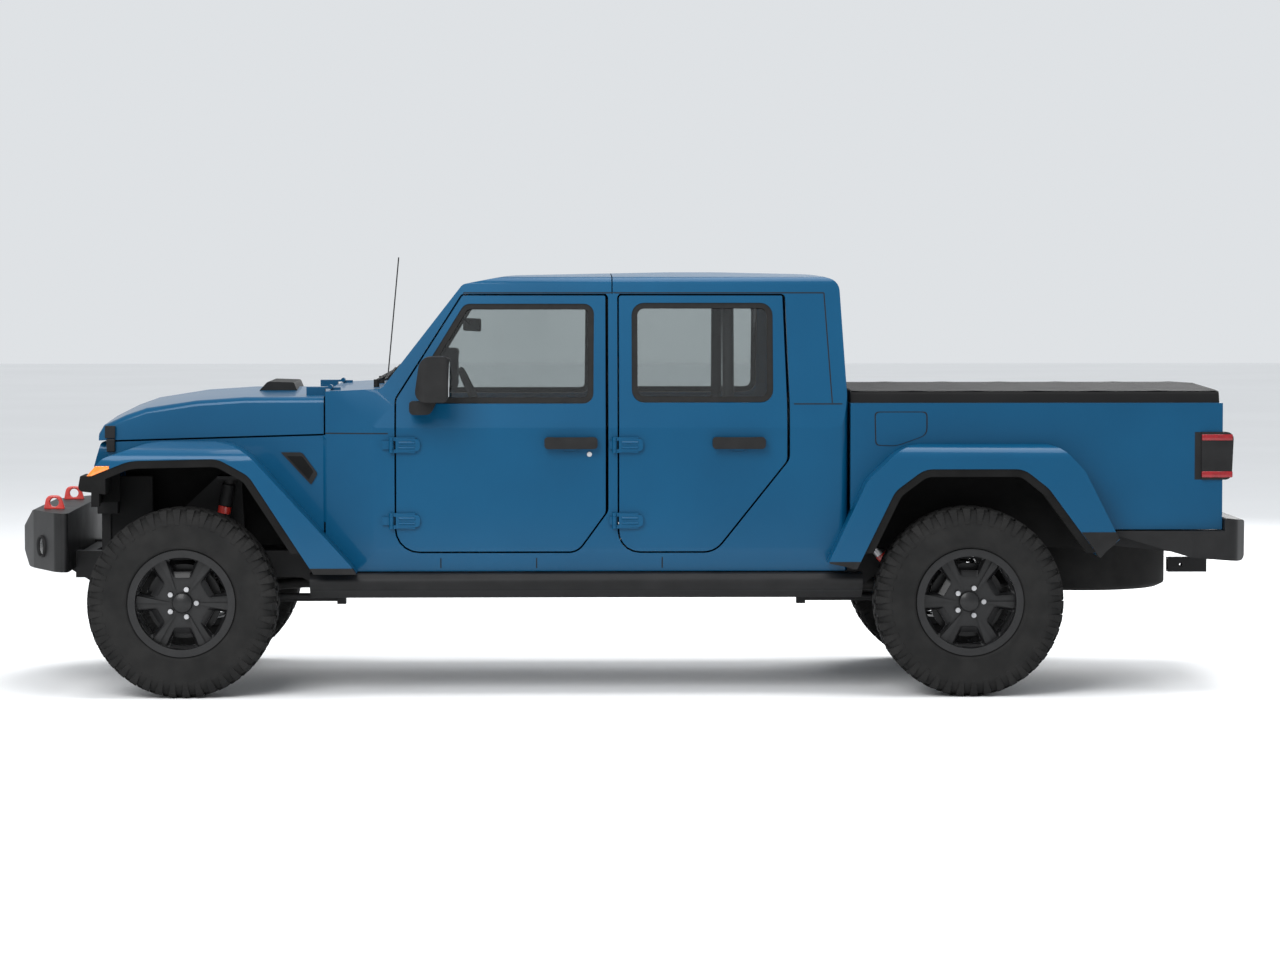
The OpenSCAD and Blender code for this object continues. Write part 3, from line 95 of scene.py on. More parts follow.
slotFinish = {
    "body_paint": "bodyPaint", "black_steel": "blackSteel", "black_plastic": "blackPlastic",
    "hook_red": "hookRed", "clear_glass": "windowGlass", "front_lens": "lampGlass",
    "tail_lens": "redLens", "tonneau_vinyl": "tonneauVinyl", "seat_cloth": "seatCloth",
    "cast_steel": "castSteel", "bright_steel": "brightSteel", "tyre_rubber": "tyreRubber",
    "rim_black": "rimBlack",
}


def makeFinish(name, choices):
    settings = {**plainFinish, **choices}
    material = bpy.data.materials.new(name)
    material.use_nodes = True
    tree = material.node_tree
    shader = tree.nodes["Principled BSDF"]
    place = tree.nodes.new("ShaderNodeTexCoord")
    noise = tree.nodes.new("ShaderNodeTexNoise")
    noise.inputs["Scale"].default_value = settings["scale"]
    noise.inputs["Detail"].default_value = pattern["detail"]
    tree.links.new(place.outputs["Object"], noise.inputs["Vector"])
    ramp = tree.nodes.new("ShaderNodeValToRGB")
    for element, position, tone in zip(ramp.color_ramp.elements, pattern["ramp"], ("dark", "light")):
        element.position = position
        element.color = (*settings[tone], 1)
    tree.links.new(noise.outputs["Fac"], ramp.inputs["Fac"])
    tree.links.new(ramp.outputs["Color"], shader.inputs["Base Color"])
    spread = tree.nodes.new("ShaderNodeMapRange")
    spread.inputs["To Min"].default_value, spread.inputs["To Max"].default_value = settings["rough"]
    tree.links.new(noise.outputs["Fac"], spread.inputs["Value"])
    tree.links.new(spread.outputs["Result"], shader.inputs["Roughness"])
    shader.inputs["Metallic"].default_value = settings["metallic"]
    shader.inputs["Specular IOR Level"].default_value = settings["specular"]
    shader.inputs["Coat Weight"].default_value = settings["coat"]
    shader.inputs["Coat Roughness"].default_value = pattern["coatRough"]
    if settings["bump"] > 0:
        grain = tree.nodes.new("ShaderNodeTexNoise")
        grain.inputs["Scale"].default_value = settings["grain"]
        tree.links.new(place.outputs["Object"], grain.inputs["Vector"])
        bump = tree.nodes.new("ShaderNodeBump")
        bump.inputs["Strength"].default_value = settings["bump"]
        bump.inputs["Distance"].default_value = pattern["bumpDepth"]
        tree.links.new(grain.outputs["Fac"], bump.inputs["Height"])
        tree.links.new(bump.outputs["Normal"], shader.inputs["Normal"])
    return material


def makeGlass(name, tint):
    dark = tuple(glass["shade"] * part for part in tint)
    choices = {"dark": dark, "light": tint, "rough": glass["rough"], "scale": glass["scale"]}
    material = makeFinish(name, choices)
    shader = material.node_tree.nodes["Principled BSDF"]
    shader.inputs["Transmission Weight"].default_value = 1.0
    shader.inputs["IOR"].default_value = glass["ior"]
    return material


finish = {name: makeFinish(name, choices) for name, choices in finishes.items()}
finish.update({name: makeGlass(name, tint) for name, tint in glass["tints"].items()})
print("materials made")


# CAD nodes: a finish by material slot, and softened edges
edgeWidths = {"bodyPaint": 0.005, "blackSteel": 0.004, "blackPlastic": 0.003, "castSteel": 0.004,
              "rimBlack": 0.004, "hookRed": 0.004}
softEdge = {"weld": 0.00005, "segments": 2, "angle": 28}
ownFinish = {"arch_liners": "linerPlastic", "springs_and_dampers": "castSteel", "driveshafts": "castSteel"}
nodeSlot = {part["node"]: part["material_slot"] for part in frame["record"]["subparts"]}


def soften(obj, width):
    for face in obj.data.polygons:
        face.use_smooth = True
    weld = obj.modifiers.new("weld", "WELD")
    weld.merge_threshold = softEdge["weld"]
    bevel = obj.modifiers.new("softEdges", "BEVEL")
    bevel.width = width
    bevel.segments = softEdge["segments"]
    bevel.limit_method = "ANGLE"
    bevel.angle_limit = math.radians(softEdge["angle"])
    bevel.harden_normals = True
    normals = obj.modifiers.new("normals", "WEIGHTED_NORMAL")
    normals.keep_sharp = True


for name, obj in nodes.items():
    finishName = ownFinish.get(name, slotFinish[nodeSlot[name]])
    obj.data.materials.clear()
    obj.data.materials.append(finish[finishName])
    if finishName in edgeWidths:
        soften(obj, edgeWidths[finishName])
print("CAD nodes finished")


# Mesh helpers
def linked(name, data):
    obj = bpy.data.objects.new(name, data)
    bpy.context.scene.collection.objects.link(obj)
    return obj


def newObject(name, mesh, finishName, body):
    obj = linked(name, mesh)
    mesh.materials.clear()
    mesh.materials.append(finish[finishName])
    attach(obj, body)
    return obj


def meshFrom(bm, name, smooth=True):
    mesh = bpy.data.meshes.new(name)
    bm.to_mesh(mesh)
    bm.free()
    for face in mesh.polygons:
        face.use_smooth = smooth
    return mesh


def mergedCopy(node):
    bm = bmesh.new()
    bm.from_mesh(nodes[node].data)
    bmesh.ops.remove_doubles(bm, verts=bm.verts, dist=1e-5)
    return bm


def polar(radius, angle, z):
    return (radius * math.cos(angle), radius * math.sin(angle), z)


def addBox(bm, low, high, bevel):
    made = bmesh.ops.create_cube(bm, size=1.0)["verts"]
    middle = (Vector(low) + Vector(high)) / 2
    size = Vector(high) - Vector(low)
    for vert in made:
        vert.co = middle + Vector(co * s for co, s in zip(vert.co, size))
    edges = list({edge for vert in made for edge in vert.link_edges})
    bmesh.ops.bevel(bm, geom=edges, offset=bevel, segments=2, affect="EDGES", profile=0.5)


def addSideBox(bm, xs, ys, zs, sideSign, bevel):
    y0, y1 = sorted(sideSign * y for y in ys)
    addBox(bm, (xs[0], y0, zs[0]), (xs[1], y1, zs[1]), bevel)


def addTube(bm, start, end, radius, sides=24):
    start, end = Vector(start), Vector(end)
    turn = (end - start).to_track_quat("Z", "Y").to_matrix().to_4x4()
    place = Matrix.Translation((start + end) / 2) @ turn
    bmesh.ops.create_cone(bm, cap_ends=True, segments=sides, radius1=radius, radius2=radius,
                          depth=(end - start).length, matrix=place)


def joinRings(bm, rings, wrap=True):
    count = len(rings[0])
    for here, there in zip(rings, rings[1:]):
        for i in range(count if wrap else count - 1):
            k = (i + 1) % count
            bm.faces.new((here[i], there[i], there[k], here[k]))


def lathe(bm, outline, steps, closed=True):
    rings = []
    for step in range(steps):
        angle = 2 * math.pi * step / steps
        rings.append([bm.verts.new(polar(r, angle, z)) for r, z in outline])
    joinRings(bm, rings + rings[:1], wrap=closed)


def addLathe(bm, outline, steps, place):  # an open outline; points on the axis become one pole
    part = bmesh.new()
    lathe(part, outline, steps, closed=False)
    bmesh.ops.remove_doubles(part, verts=part.verts, dist=1e-6)
    part.transform(place)
    held = meshFrom(part, "held")
    bm.from_mesh(held)
    bpy.data.meshes.remove(held)


def roundedOutline(corners, steps=4):  # corners are two places and a rounding
    points = []
    for number, (x, y, radius) in enumerate(corners):
        here = Vector((x, y))
        before = Vector(corners[number - 1][:2]) - here
        after = Vector(corners[(number + 1) % len(corners)][:2]) - here
        start = here + before.normalized() * radius
        end = here + after.normalized() * radius
        for step in range(steps + 1):
            t = step / steps
            points.append(start * (1 - t) ** 2 + here * 2 * t * (1 - t) + end * t ** 2)
    return points


def trapezoid(ends):  # each end is a place along, a half width and a rounding
    (near, nearHalf, nearRound), (far, farHalf, farRound) = ends
    return roundedOutline([(near, -nearHalf, nearRound), (far, -farHalf, farRound), (far, farHalf, farRound),
                           (near, nearHalf, nearRound)])


def middleOf(outline):
    return sum((Vector(p) for p in outline), Vector((0, 0))) / len(outline)


def grown(outline, share):
    middle = middleOf(outline)
    return [middle + (Vector(p) - middle) * share for p in outline]


# Ring array by Geometry Nodes: each copy is turned by one more step
def makeRingTree(name):
    tree = bpy.data.node_groups.new(name, "GeometryNodeTree")
    inputs = {"Geometry": "NodeSocketGeometry", "Count": "NodeSocketInt", "Step": "NodeSocketVector",
              "Material": "NodeSocketMaterial"}
    for label, kind in inputs.items():
        tree.interface.new_socket(label, in_out="INPUT", socket_type=kind)
    tree.interface.new_socket("Geometry", in_out="OUTPUT", socket_type="NodeSocketGeometry")
    source = tree.nodes.new("NodeGroupInput")
    sink = tree.nodes.new("NodeGroupOutput")
    line = tree.nodes.new("GeometryNodeMeshLine")
    line.inputs["Offset"].default_value = (0, 0, 0)
    index = tree.nodes.new("GeometryNodeInputIndex")
    scale = tree.nodes.new("ShaderNodeVectorMath")
    scale.operation = "SCALE"
    instance = tree.nodes.new("GeometryNodeInstanceOnPoints")
    realize = tree.nodes.new("GeometryNodeRealizeInstances")
    paint = tree.nodes.new("GeometryNodeSetMaterial")
    links = tree.links
    links.new(source.outputs["Count"], line.inputs["Count"])
    links.new(source.outputs["Step"], scale.inputs[0])
    links.new(index.outputs[0], scale.inputs["Scale"])
    links.new(line.outputs["Mesh"], instance.inputs["Points"])
    links.new(scale.outputs[0], instance.inputs["Rotation"])
    links.new(source.outputs["Geometry"], instance.inputs["Instance"])
    links.new(instance.outputs["Instances"], realize.inputs["Geometry"])
    links.new(realize.outputs["Geometry"], paint.inputs["Geometry"])
    links.new(source.outputs["Material"], paint.inputs["Material"])
    links.new(paint.outputs["Geometry"], sink.inputs["Geometry"])
    return tree


ringTree = makeRingTree("ringArray")


def ringMesh(mesh, count, finishName):
    holder = linked("arrayHolder", mesh)
    modifier = holder.modifiers.new("array", "NODES")
    modifier.node_group = ringTree
    items = ringTree.interface.items_tree
    sockets = {item.name: item.identifier for item in items if item.in_out == "INPUT"}
    modifier[sockets["Count"]] = count
    modifier[sockets["Step"]] = (0, 0, 2 * math.pi / count)
    modifier[sockets["Material"]] = finish[finishName]
    graph = bpy.context.evaluated_depsgraph_get()
    made = bpy.data.meshes.new_from_object(holder.evaluated_get(graph))
    bpy.data.objects.remove(holder)
    return made


print("ring array made")


# Tyres: a turned carcass with tread blocks and shoulder lugs
wheelCorners = ("fl", "fr", "rl", "rr")
wheelCentre = {corner: Vector(joints["wheel_%s_spin" % corner]["pos_m"]) for corner in wheelCorners}
tyreLow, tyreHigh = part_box("tyre_fl")
tyre = {  # outline points are a rise and a distance in from the side
    "radius": (tyreHigh[2] - tyreLow[2]) / 2, "half": (tyreHigh[1] - tyreLow[1]) / 2,
    "rimRadius": 0.237, "beadRadius": 0.2185, "grooveDepth": 0.012, "steps": 120, "blocks": 42,
    "bead": (0.001, 0.024),
    "sidewall": ((0.002, 0.024), (0.006, 0.012), (0.014, 0.006), (0.020, 0.007), (0.045, 0.002),
                 (0.080, 0.001), (0.112, 0.004), (0.118, 0.002), (0.126, 0.003), (0.140, 0.008)),
    "shoulder": ((-0.022, 0.012), (-0.006, 0.024), (0.0, 0.040)),
    "crown": {"rise": 0.002, "share": 0.4},
}
tread = {  # block outlines are places along and across the tread
    "root": 0.002, "chamferDrop": 0.002, "chamferWidth": 0.0025,
    "inner": ((-0.024, 0.004), (0.016, 0.006), (0.024, 0.020), (0.020, 0.040), (-0.016, 0.042),
              (-0.022, 0.026)),
    "outer": ((-0.026, 0.050), (0.014, 0.048), (0.024, 0.060), (0.022, 0.078), (-0.018, 0.080),
              (-0.027, 0.068)),
}
shoulderLug = {  # from the tread edge down the sidewall; the first row stands at start
    "start": 0.086, "phase": 0.3, "flank": 0.002, "halfWidth": (0.017, 0.017, 0.016, 0.013, 0.011, 0.010),
    "crestDrop": (0.003, 0.004, 0.020, 0.045, 0.070, 0.077),
    "crestInset": (0.022, 0.006, 0.0010, 0.0004, 0.005),
    "rootDrop": (0.018, 0.018, 0.032, 0.048, 0.070, 0.078),
    "rootInset": (0.034, 0.018, 0.010, 0.009, 0.009),
}


def wheelMatrix(corner):
    outward = 90 if corner.endswith("l") else -90
    return Matrix.Translation(wheelCentre[corner]) @ Matrix.Rotation(math.radians(outward), 4, "X")


def tyreProfile():
    half = tyre["half"]
    floor = tyre["radius"] - tyre["grooveDepth"]
    upper = [(tyre["beadRadius"] + tyre["bead"][0], half - tyre["bead"][1])]
    upper += [(tyre["rimRadius"] + rise, half - inset) for rise, inset in tyre["sidewall"]]
    upper += [(floor + rise, half - inset) for rise, inset in tyre["shoulder"]]
    upper.append((floor + tyre["crown"]["rise"], half * tyre["crown"]["share"]))
    return upper + [(r, -z) for r, z in reversed(upper)]


def carcassMesh():
    bm = bmesh.new()
    lathe(bm, tyreProfile(), tyre["steps"])
    bmesh.ops.recalc_face_normals(bm, faces=bm.faces)
    return meshFrom(bm, "carcass")


def addTreadBlock(bm, outline):
    top = tyre["radius"]
    low = top - tyre["grooveDepth"] - tread["root"]
    middle = middleOf(outline)
    rings = []
    for radius, inset in ((low, 0.0), (top - tread["chamferDrop"], 0.0), (top, tread["chamferWidth"])):
        ring = []
        for along, across in outline:
            angle = (along - math.copysign(inset, along - middle.x)) / tyre["radius"]
            z = across - math.copysign(inset, across - middle.y)
            ring.append(bm.verts.new(polar(radius, angle, z)))
        rings.append(ring)
    joinRings(bm, rings)
    bm.faces.new(rings[-1])


def lugEdge(drops, insets):
    across = [shoulderLug["start"]] + [tyre["half"] - inset for inset in insets]
    return [(tyre["radius"] - drop, z) for drop, z in zip(drops, across)]


def addShoulderLug(bm, sideSign, shift):
    crest = lugEdge(shoulderLug["crestDrop"], shoulderLug["crestInset"])
    root = lugEdge(shoulderLug["rootDrop"], shoulderLug["rootInset"])
    rows = []
    for high, low, half in zip(crest, root, shoulderLug["halfWidth"]):
        wide = half + shoulderLug["flank"]
        row = []
        for (radius, across), along in ((low, -wide), (high, -half), (high, half), (low, wide)):
            angle = (shift + along) / tyre["radius"]
            row.append(bm.verts.new(polar(radius, angle, across * sideSign)))
        rows.append(row)
    joinRings(bm, rows, wrap=False)
    bm.faces.new(rows[0])
    bm.faces.new(rows[-1])


def treadPitch():
    bm = bmesh.new()
    pitch = 2 * math.pi * tyre["radius"] / tyre["blocks"]
    for sideSign in leftRight:
        shift = 0.0 if sideSign < 0 else pitch / 2  # the two halves are staggered
        for outline in (tread["inner"], tread["outer"]):
            addTreadBlock(bm, [(along + shift, across * sideSign) for along, across in outline[::sideSign]])
        addShoulderLug(bm, sideSign, shift + pitch * shoulderLug["phase"])
    bmesh.ops.recalc_face_normals(bm, faces=bm.faces)
    return meshFrom(bm, "treadPitch", smooth=False)


def makeTyre(corner, carcass, treadRing):
    name = "tyreDetail_" + corner
    bm = bmesh.new()
    bm.from_mesh(carcass)
    bm.from_mesh(treadRing)
    bm.transform(wheelMatrix(corner))
    mesh = bpy.data.meshes.new(name)
    bm.to_mesh(mesh)
    bm.free()
    obj = newObject(name, mesh, "tyreRubber", "wheel_" + corner)
    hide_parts("tyre_" + corner)


carcass = carcassMesh()
treadRing = ringMesh(treadPitch(), tyre["blocks"], "tyreRubber")
for corner in wheelCorners:
    makeTyre(corner, carcass, treadRing)
print("tyres made")


# Rim faces with pockets, lug nuts and caps; heights are from the wheel's middle plane
rimFace = {"face": 0.062, "rise": 0.014, "lift": 0.0005, "inner": 0.046, "outer": 0.2045, "spokes": 6,
           "arcSteps": 8, "holeDepth": 0.032, "pocket": ((0.112, 0.036, 0.008), (0.2005, 0.078, 0.018)),
           "hole": ((0.137, 0.040, 0.006), (0.190, 0.060, 0.012))}
lugNut = {"circle": 0.0635, "count": 5, "sides": 6, "radius": 0.0125, "height": 0.018, "sink": 0.002,
          "edge": 0.0022}
wheelCap = {"radius": 0.045, "height": 0.016, "sink": 0.004, "steps": 40,  # crown: share of radius, drop
            "crown": ((1.0, 0.008), (0.92, 0.004), (0.78, 0.003), (0.70, 0.0005), (0.0, 0.0))}


def spokeSector():
    bm = bmesh.new()
    half = math.pi / rimFace["spokes"]
    low = rimFace["face"] + rimFace["lift"]
    top = rimFace["face"] + rimFace["rise"]
    angles = [-half + 2 * half * i / rimFace["arcSteps"] for i in range(rimFace["arcSteps"] + 1)]
    border = [bm.verts.new(polar(rimFace["outer"], angle, top)) for angle in angles]
    border += [bm.verts.new(polar(rimFace["inner"], angle, top)) for angle in reversed(angles)]
    pocket = [bm.verts.new((x, y, top)) for x, y in trapezoid(rimFace["pocket"])]
    hole = [bm.verts.new((x, y, low)) for x, y in trapezoid(rimFace["hole"])]
    foot = [bm.verts.new((x, y, low - rimFace["holeDepth"])) for x, y in trapezoid(rimFace["hole"])]
    edges = []
    for loop in (border, pocket):
        edges += [bm.edges.new((loop[i], loop[(i + 1) % len(loop)])) for i in range(len(loop))]
    bmesh.ops.triangle_fill(bm, use_beauty=True, edges=edges, normal=(0, 0, 1))
    bmesh.ops.delete(bm, geom=[face for face in bm.faces if overPocket(face)], context="FACES_ONLY")
    joinRings(bm, [foot, hole, pocket])
    bm.transform(Matrix.Rotation(half, 4, "Z"))
    return meshFrom(bm, "spokeSector", smooth=False)


def overPocket(face):
    (near, nearHalf, _), (far, farHalf, _) = rimFace["pocket"]
    middle = face.calc_center_median()
    share = (middle.x - near) / (far - near)
    return 0 < share < 1 and abs(middle.y) < nearHalf + (farHalf - nearHalf) * share


def nutMesh():
    bm = bmesh.new()
    base = rimFace["face"] + rimFace["rise"] - lugNut["sink"]
    addTube(bm, (lugNut["circle"], 0, base), (lugNut["circle"], 0, base + lugNut["height"]),
            lugNut["radius"], lugNut["sides"])
    bmesh.ops.bevel(bm, geom=bm.edges[:], offset=lugNut["edge"], segments=2, affect="EDGES")
    return meshFrom(bm, "nut", smooth=False)


def makeWheelTrim(corner, nuts, spokes):
    for name, source, finishName, slotName in (("lugNuts_", nuts, "brightSteel", "bright_steel"),
                                               ("spokeFaces_", spokes, "rimBlack", "rim_black")):
        mesh = source.copy()
        mesh.transform(wheelMatrix(corner))
        newObject(name + corner, mesh, finishName, "wheel_" + corner)
    base = rimFace["face"] + rimFace["rise"] - wheelCap["sink"]
    top = base + wheelCap["height"]
    outline = [(wheelCap["radius"], base)]
    outline += [(wheelCap["radius"] * share, top - drop) for share, drop in wheelCap["crown"]]
    bm = bmesh.new()
    addLathe(bm, outline, wheelCap["steps"], wheelMatrix(corner))
    newObject("wheelCap_" + corner, meshFrom(bm, "wheelCap"), "rimBlack", "wheel_" + corner)


spokes = ringMesh(spokeSector(), rimFace["spokes"], "rimBlack")
nuts = ringMesh(nutMesh(), lugNut["count"], "brightSteel")
for corner in wheelCorners:
    makeWheelTrim(corner, nuts, spokes)
print("wheel trim made")


# Window seals, made from the outer skin of each pane
doorSide = {"door_fl": -1, "door_fr": 1, "door_rl": -1, "door_rr": 1}
seal = {"width": 0.026, "rise": 0.011, "facing": 0.93, "flat": 1, "doorTilt": 0.15,
        "screens": {"windshieldSeal": (-0.79, 0, 0.61), "backGlassSeal": (1, 0, 0.07)}}


def makeSeal(name, node, direction, body):
    facing = Vector(direction).normalized()
    bm = mergedCopy(node)
    away = [face for face in bm.faces if face.normal.dot(facing) < seal["facing"]]
    bmesh.ops.delete(bm, geom=away, context="FACES")
    bmesh.ops.dissolve_limit(bm, angle_limit=math.radians(seal["flat"]), verts=bm.verts, edges=bm.edges)
    ring = set(bmesh.ops.inset_region(bm, faces=bm.faces[:], thickness=seal["width"], use_even_offset=True,
                                      use_boundary=True)["faces"])
    bmesh.ops.delete(bm, geom=[face for face in bm.faces if face not in ring], context="FACES")
    raised = bmesh.ops.extrude_face_region(bm, geom=bm.faces[:])["geom"]
    moved = [item for item in raised if isinstance(item, bmesh.types.BMVert)]
    bmesh.ops.translate(bm, verts=moved, vec=facing * seal["rise"])
    bmesh.ops.recalc_face_normals(bm, faces=bm.faces)
    newObject(name, meshFrom(bm, name, smooth=False), "sealRubber", body)


for door, sideSign in doorSide.items():
    makeSeal("seal_" + door, door + "_glass", (0, sideSign, seal["doorTilt"]), door)
for name, direction in seal["screens"].items():
    makeSeal(name, "fixed_glass", direction, "chassis")
print("window seals made")


# Lamps: outlines are shares of the radius and depths behind the lens
signalLamp = {"inboard": 0.62, "edge": 0.004}  # the node's solids outside this Y are the signal lamps
headlamp = {"radius": 0.0885, "steps": 48,
            "lens": ((0.0, 0.0), (0.5, 0.002), (0.8, 0.006), (0.96, 0.012), (1.0, 0.016), (0.96, 0.018),
                     (0.5, 0.006), (0.0, 0.004)),
            "bowl": ((0.0, 0.060), (0.3, 0.056), (0.6, 0.042), (0.9, 0.018), (0.98, 0.015)),
            "can": ((0.98, 0.015), (1.0, 0.014), (1.0, 0.064), (0.0, 0.064))}
tail = {"bar": 0.028, "inset": 0.010, "proud": 0.003, "foreGap": 0.030, "aftGap": 0.004, "wrap": 0.045,
        "barEdge": 0.004, "housingEdge": 0.006}


def signalLamps():
    bm = mergedCopy("front_lamps")
    away = [vert for vert in bm.verts if abs(vert.co.y) < signalLamp["inboard"]]
    bmesh.ops.delete(bm, geom=away, context="VERTS")
    obj = newObject("signalLamps", meshFrom(bm, "signalLamps"), "amberLens", "chassis")
    soften(obj, signalLamp["edge"])
    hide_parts("front_lamps")


def headlampMatrix(sideSign):
    bm = mergedCopy("front_lamps")
    lamp = [vert.co.copy() for vert in bm.verts if 0 < vert.co.y * sideSign < signalLamp["inboard"]]
    bm.free()
    low = Vector(min(co[i] for co in lamp) for i in range(3))
    high = Vector(max(co[i] for co in lamp) for i in range(3))
    middle = Vector((low.x, (low.y + high.y) / 2, (low.z + high.z) / 2))
    return Matrix.Translation(middle) @ Matrix.Rotation(math.radians(-90), 4, "Y")


def headlamps():
    for name, piece, finishName, slotName in (("headlampLens", "lens", "lampGlass", "front_lens"),
                                              ("headlampBowl", "bowl", "lampReflector", "front_lens"),
                                              ("headlampCan", "can", "blackPlastic", "black_plastic")):
        outline = [(share * headlamp["radius"], -depth) for share, depth in headlamp[piece]]
        bm = bmesh.new()
        for sideSign in leftRight:
            addLathe(bm, outline, headlamp["steps"], headlampMatrix(sideSign))
        bmesh.ops.recalc_face_normals(bm, faces=bm.faces)
        newObject(name, meshFrom(bm, name), finishName, "chassis")


def tailLamps():
    low, high = (Vector(v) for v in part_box("tail_lamps"))
    mesh = meshFrom(mergedCopy("tail_lamps"), "tailHousings")
    housing = newObject("tailHousings", mesh, "blackPlastic", "chassis")
    soften(housing, tail["housingEdge"])
    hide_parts("tail_lamps")
    xs = (low.x + tail["foreGap"], high.x - tail["aftGap"])
    ys = (high.y - tail["wrap"], high.y + tail["proud"])
    bm = bmesh.new()
    for sideSign in leftRight:
        for z in (low.z + tail["inset"], high.z - tail["inset"] - tail["bar"]):
            addSideBox(bm, xs, ys, (z, z + tail["bar"]), sideSign, tail["barEdge"])
    newObject("tailBars", meshFrom(bm, "tailBars"), "redLens", "chassis")


signalLamps()
headlamps()
tailLamps()
print("lamps made")


# Tonneau cover: a vinyl sheet stretched over bows
cover = {"lift": 0.002, "fall": 0.014, "bows": 5, "bowRise": 0.002, "bowWidth": 0.035, "edge": 0.020,
         "margin": 0.004, "rows": 60, "columns": 40}


def tonneauSheet():
    low, high = (Vector(v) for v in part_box("tonneau_cover"))
    length, margin = high.x - low.x, cover["margin"]
    half = high.y - cover["edge"] - margin
    bays = cover["bows"] + 1
    bm = bmesh.new()
    grid = []
    for i in range(cover["rows"] + 1):
        x = low.x + margin + (length - 2 * margin) * i / cover["rows"]
        bow = (x - low.x) / length * bays
        away = abs(bow - round(bow)) * length / bays
        bowLift = cover["bowRise"] * math.exp(-(away / cover["bowWidth"]) ** 2)
        line = []
        for j in range(cover["columns"] + 1):
            y = -half + 2 * half * j / cover["columns"]
            z = high.z - cover["fall"] * abs(y) / half + cover["lift"] + bowLift
            line.append(bm.verts.new((x, y, z)))
        grid.append(line)
    joinRings(bm, grid, wrap=False)
    obj = newObject("tonneauSheet", meshFrom(bm, "tonneauSheet"), "tonneauVinyl", "chassis")


tonneauSheet()
print("tonneau made")


# Seats: padded cushions from the plain seat solids
pad = {"voxel": 0.014, "rounds": 6, "fill": 0.8, "pressure": 4.0, "frames": 20, "most": 0.010}


def seatIslands(bm):
    bm.verts.index_update()
    seen = set()
    islands = []
    for start in bm.verts:
        if start in seen:
            continue
        seen.add(start)
        island, edge = {start.index}, [start]
        while edge:
            vert = edge.pop()
            for link in vert.link_edges:
                other = link.other_vert(vert)
                if other not in seen:
                    seen.add(other)
                    island.add(other.index)
                    edge.append(other)
        islands.append(island)
    return islands


def pressOut(obj):
    before = [vert.co.copy() for vert in obj.data.vertices]
    cloth = obj.modifiers.new("cloth", "CLOTH")
    cloth.settings.use_pressure = True
    cloth.settings.uniform_pressure_force = pad["pressure"]
    cloth.settings.effector_weights.gravity = 0
    cloth.point_cache.frame_end = pad["frames"]
    scene = bpy.context.scene
    for number in range(1, pad["frames"] + 1):
        scene.frame_set(number)
    graph = bpy.context.evaluated_depsgraph_get()
    after = [vert.co.copy() for vert in obj.evaluated_get(graph).data.vertices]
    obj.modifiers.remove(cloth)
    for vert, old, new in zip(obj.data.vertices, before, after):
        move = new - old
        if move.length > pad["most"]:
            move = move.normalized() * pad["most"]
        vert.co = old + move
    scene.frame_set(1)


def makeSeat(name, bm, island):
    part = bm.copy()
    away = [vert for vert in part.verts if vert.index not in island]
    bmesh.ops.delete(part, geom=away, context="VERTS")
    obj = newObject(name, meshFrom(part, "seatCushion"), "seatCloth", "chassis")
    remesh = obj.modifiers.new("remesh", "REMESH")
    remesh.mode = "VOXEL"
    remesh.voxel_size = pad["voxel"]
    smooth = obj.modifiers.new("smooth", "SMOOTH")
    smooth.iterations = pad["rounds"]
    graph = bpy.context.evaluated_depsgraph_get()
    mesh = bpy.data.meshes.new_from_object(obj.evaluated_get(graph))
    obj.modifiers.clear()
    obj.data = mesh
    mesh.materials.clear()
    mesh.materials.append(finish["seatCloth"])
    for face in mesh.polygons:
        face.use_smooth = True
    pressOut(obj)
    return obj


def makeSeats():
    bm = mergedCopy("seats")
    made = [makeSeat("seatCushion_%d" % number, bm, island) for number, island in enumerate(seatIslands(bm))]
    bm.free()
    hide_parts("seats")


makeSeats()
print("seats made")


# Trim on the body sides is seated on the CAD skin by ray casts from outside
outside = 1.5
trimEdge = 0.002


def skinY(node, x, z, sideSign):
    start = Vector((x, sideSign * outside, z))
    hit, place = nodes[node].ray_cast(start, Vector((0, -sideSign, 0)))[:2]
    return place.y if hit else None


def outerY(names, x, z, sideSign):
    found = [y for y in (skinY(name, x, z, sideSign) for name in names) if y is not None]
    return max(found, key=abs) if found else None


def addSkinLine(bm, names, points, width, proud, sideSign, pitch=0.02, depth=0.006):
    samples = []
    for start, end in zip(points, points[1:]):
        along = Vector(end) - Vector(start)
        across = Vector((-along.y, along.x)).normalized() * width / 2
        count = max(2, int(along.length / pitch))
        samples += [(Vector(start) + along * i / count, across) for i in range(count + 1)]
    rings, known = [], []
    for place, across in samples:
        ends = (place - across, place + across)
        found = [outerY(names, end.x, end.y, sideSign) for end in ends]
        known = [y for y in found if y is not None] or known  # a miss takes the last skin found
        if not known:
            continue
        lowY, highY = (spare if y is None else y for y, spare in zip(found, (known[-1], known[0])))
        edges = ((ends[0], lowY), (ends[1], highY))
        front = [(end.x, y + sideSign * proud, end.y) for end, y in edges]
        back = [(end.x, y - sideSign * depth, end.y) for end, y in reversed(edges)]
        rings.append([bm.verts.new(co) for co in front + back])
    joinRings(bm, rings)
    for ring in (rings[0], rings[-1]):
        bm.faces.new(ring)


def addLayers(bm, front, back):
    near = [bm.verts.new(co) for co in front]
    far = [bm.verts.new(co) for co in back]
    bm.faces.new(near)
    bm.faces.new(far[::-1])
    joinRings(bm, [near, far])


def addPlate(bm, outline, y0, y1):
    addLayers(bm, [(x, y0, z) for x, z in outline], [(x, y1, z) for x, z in outline])


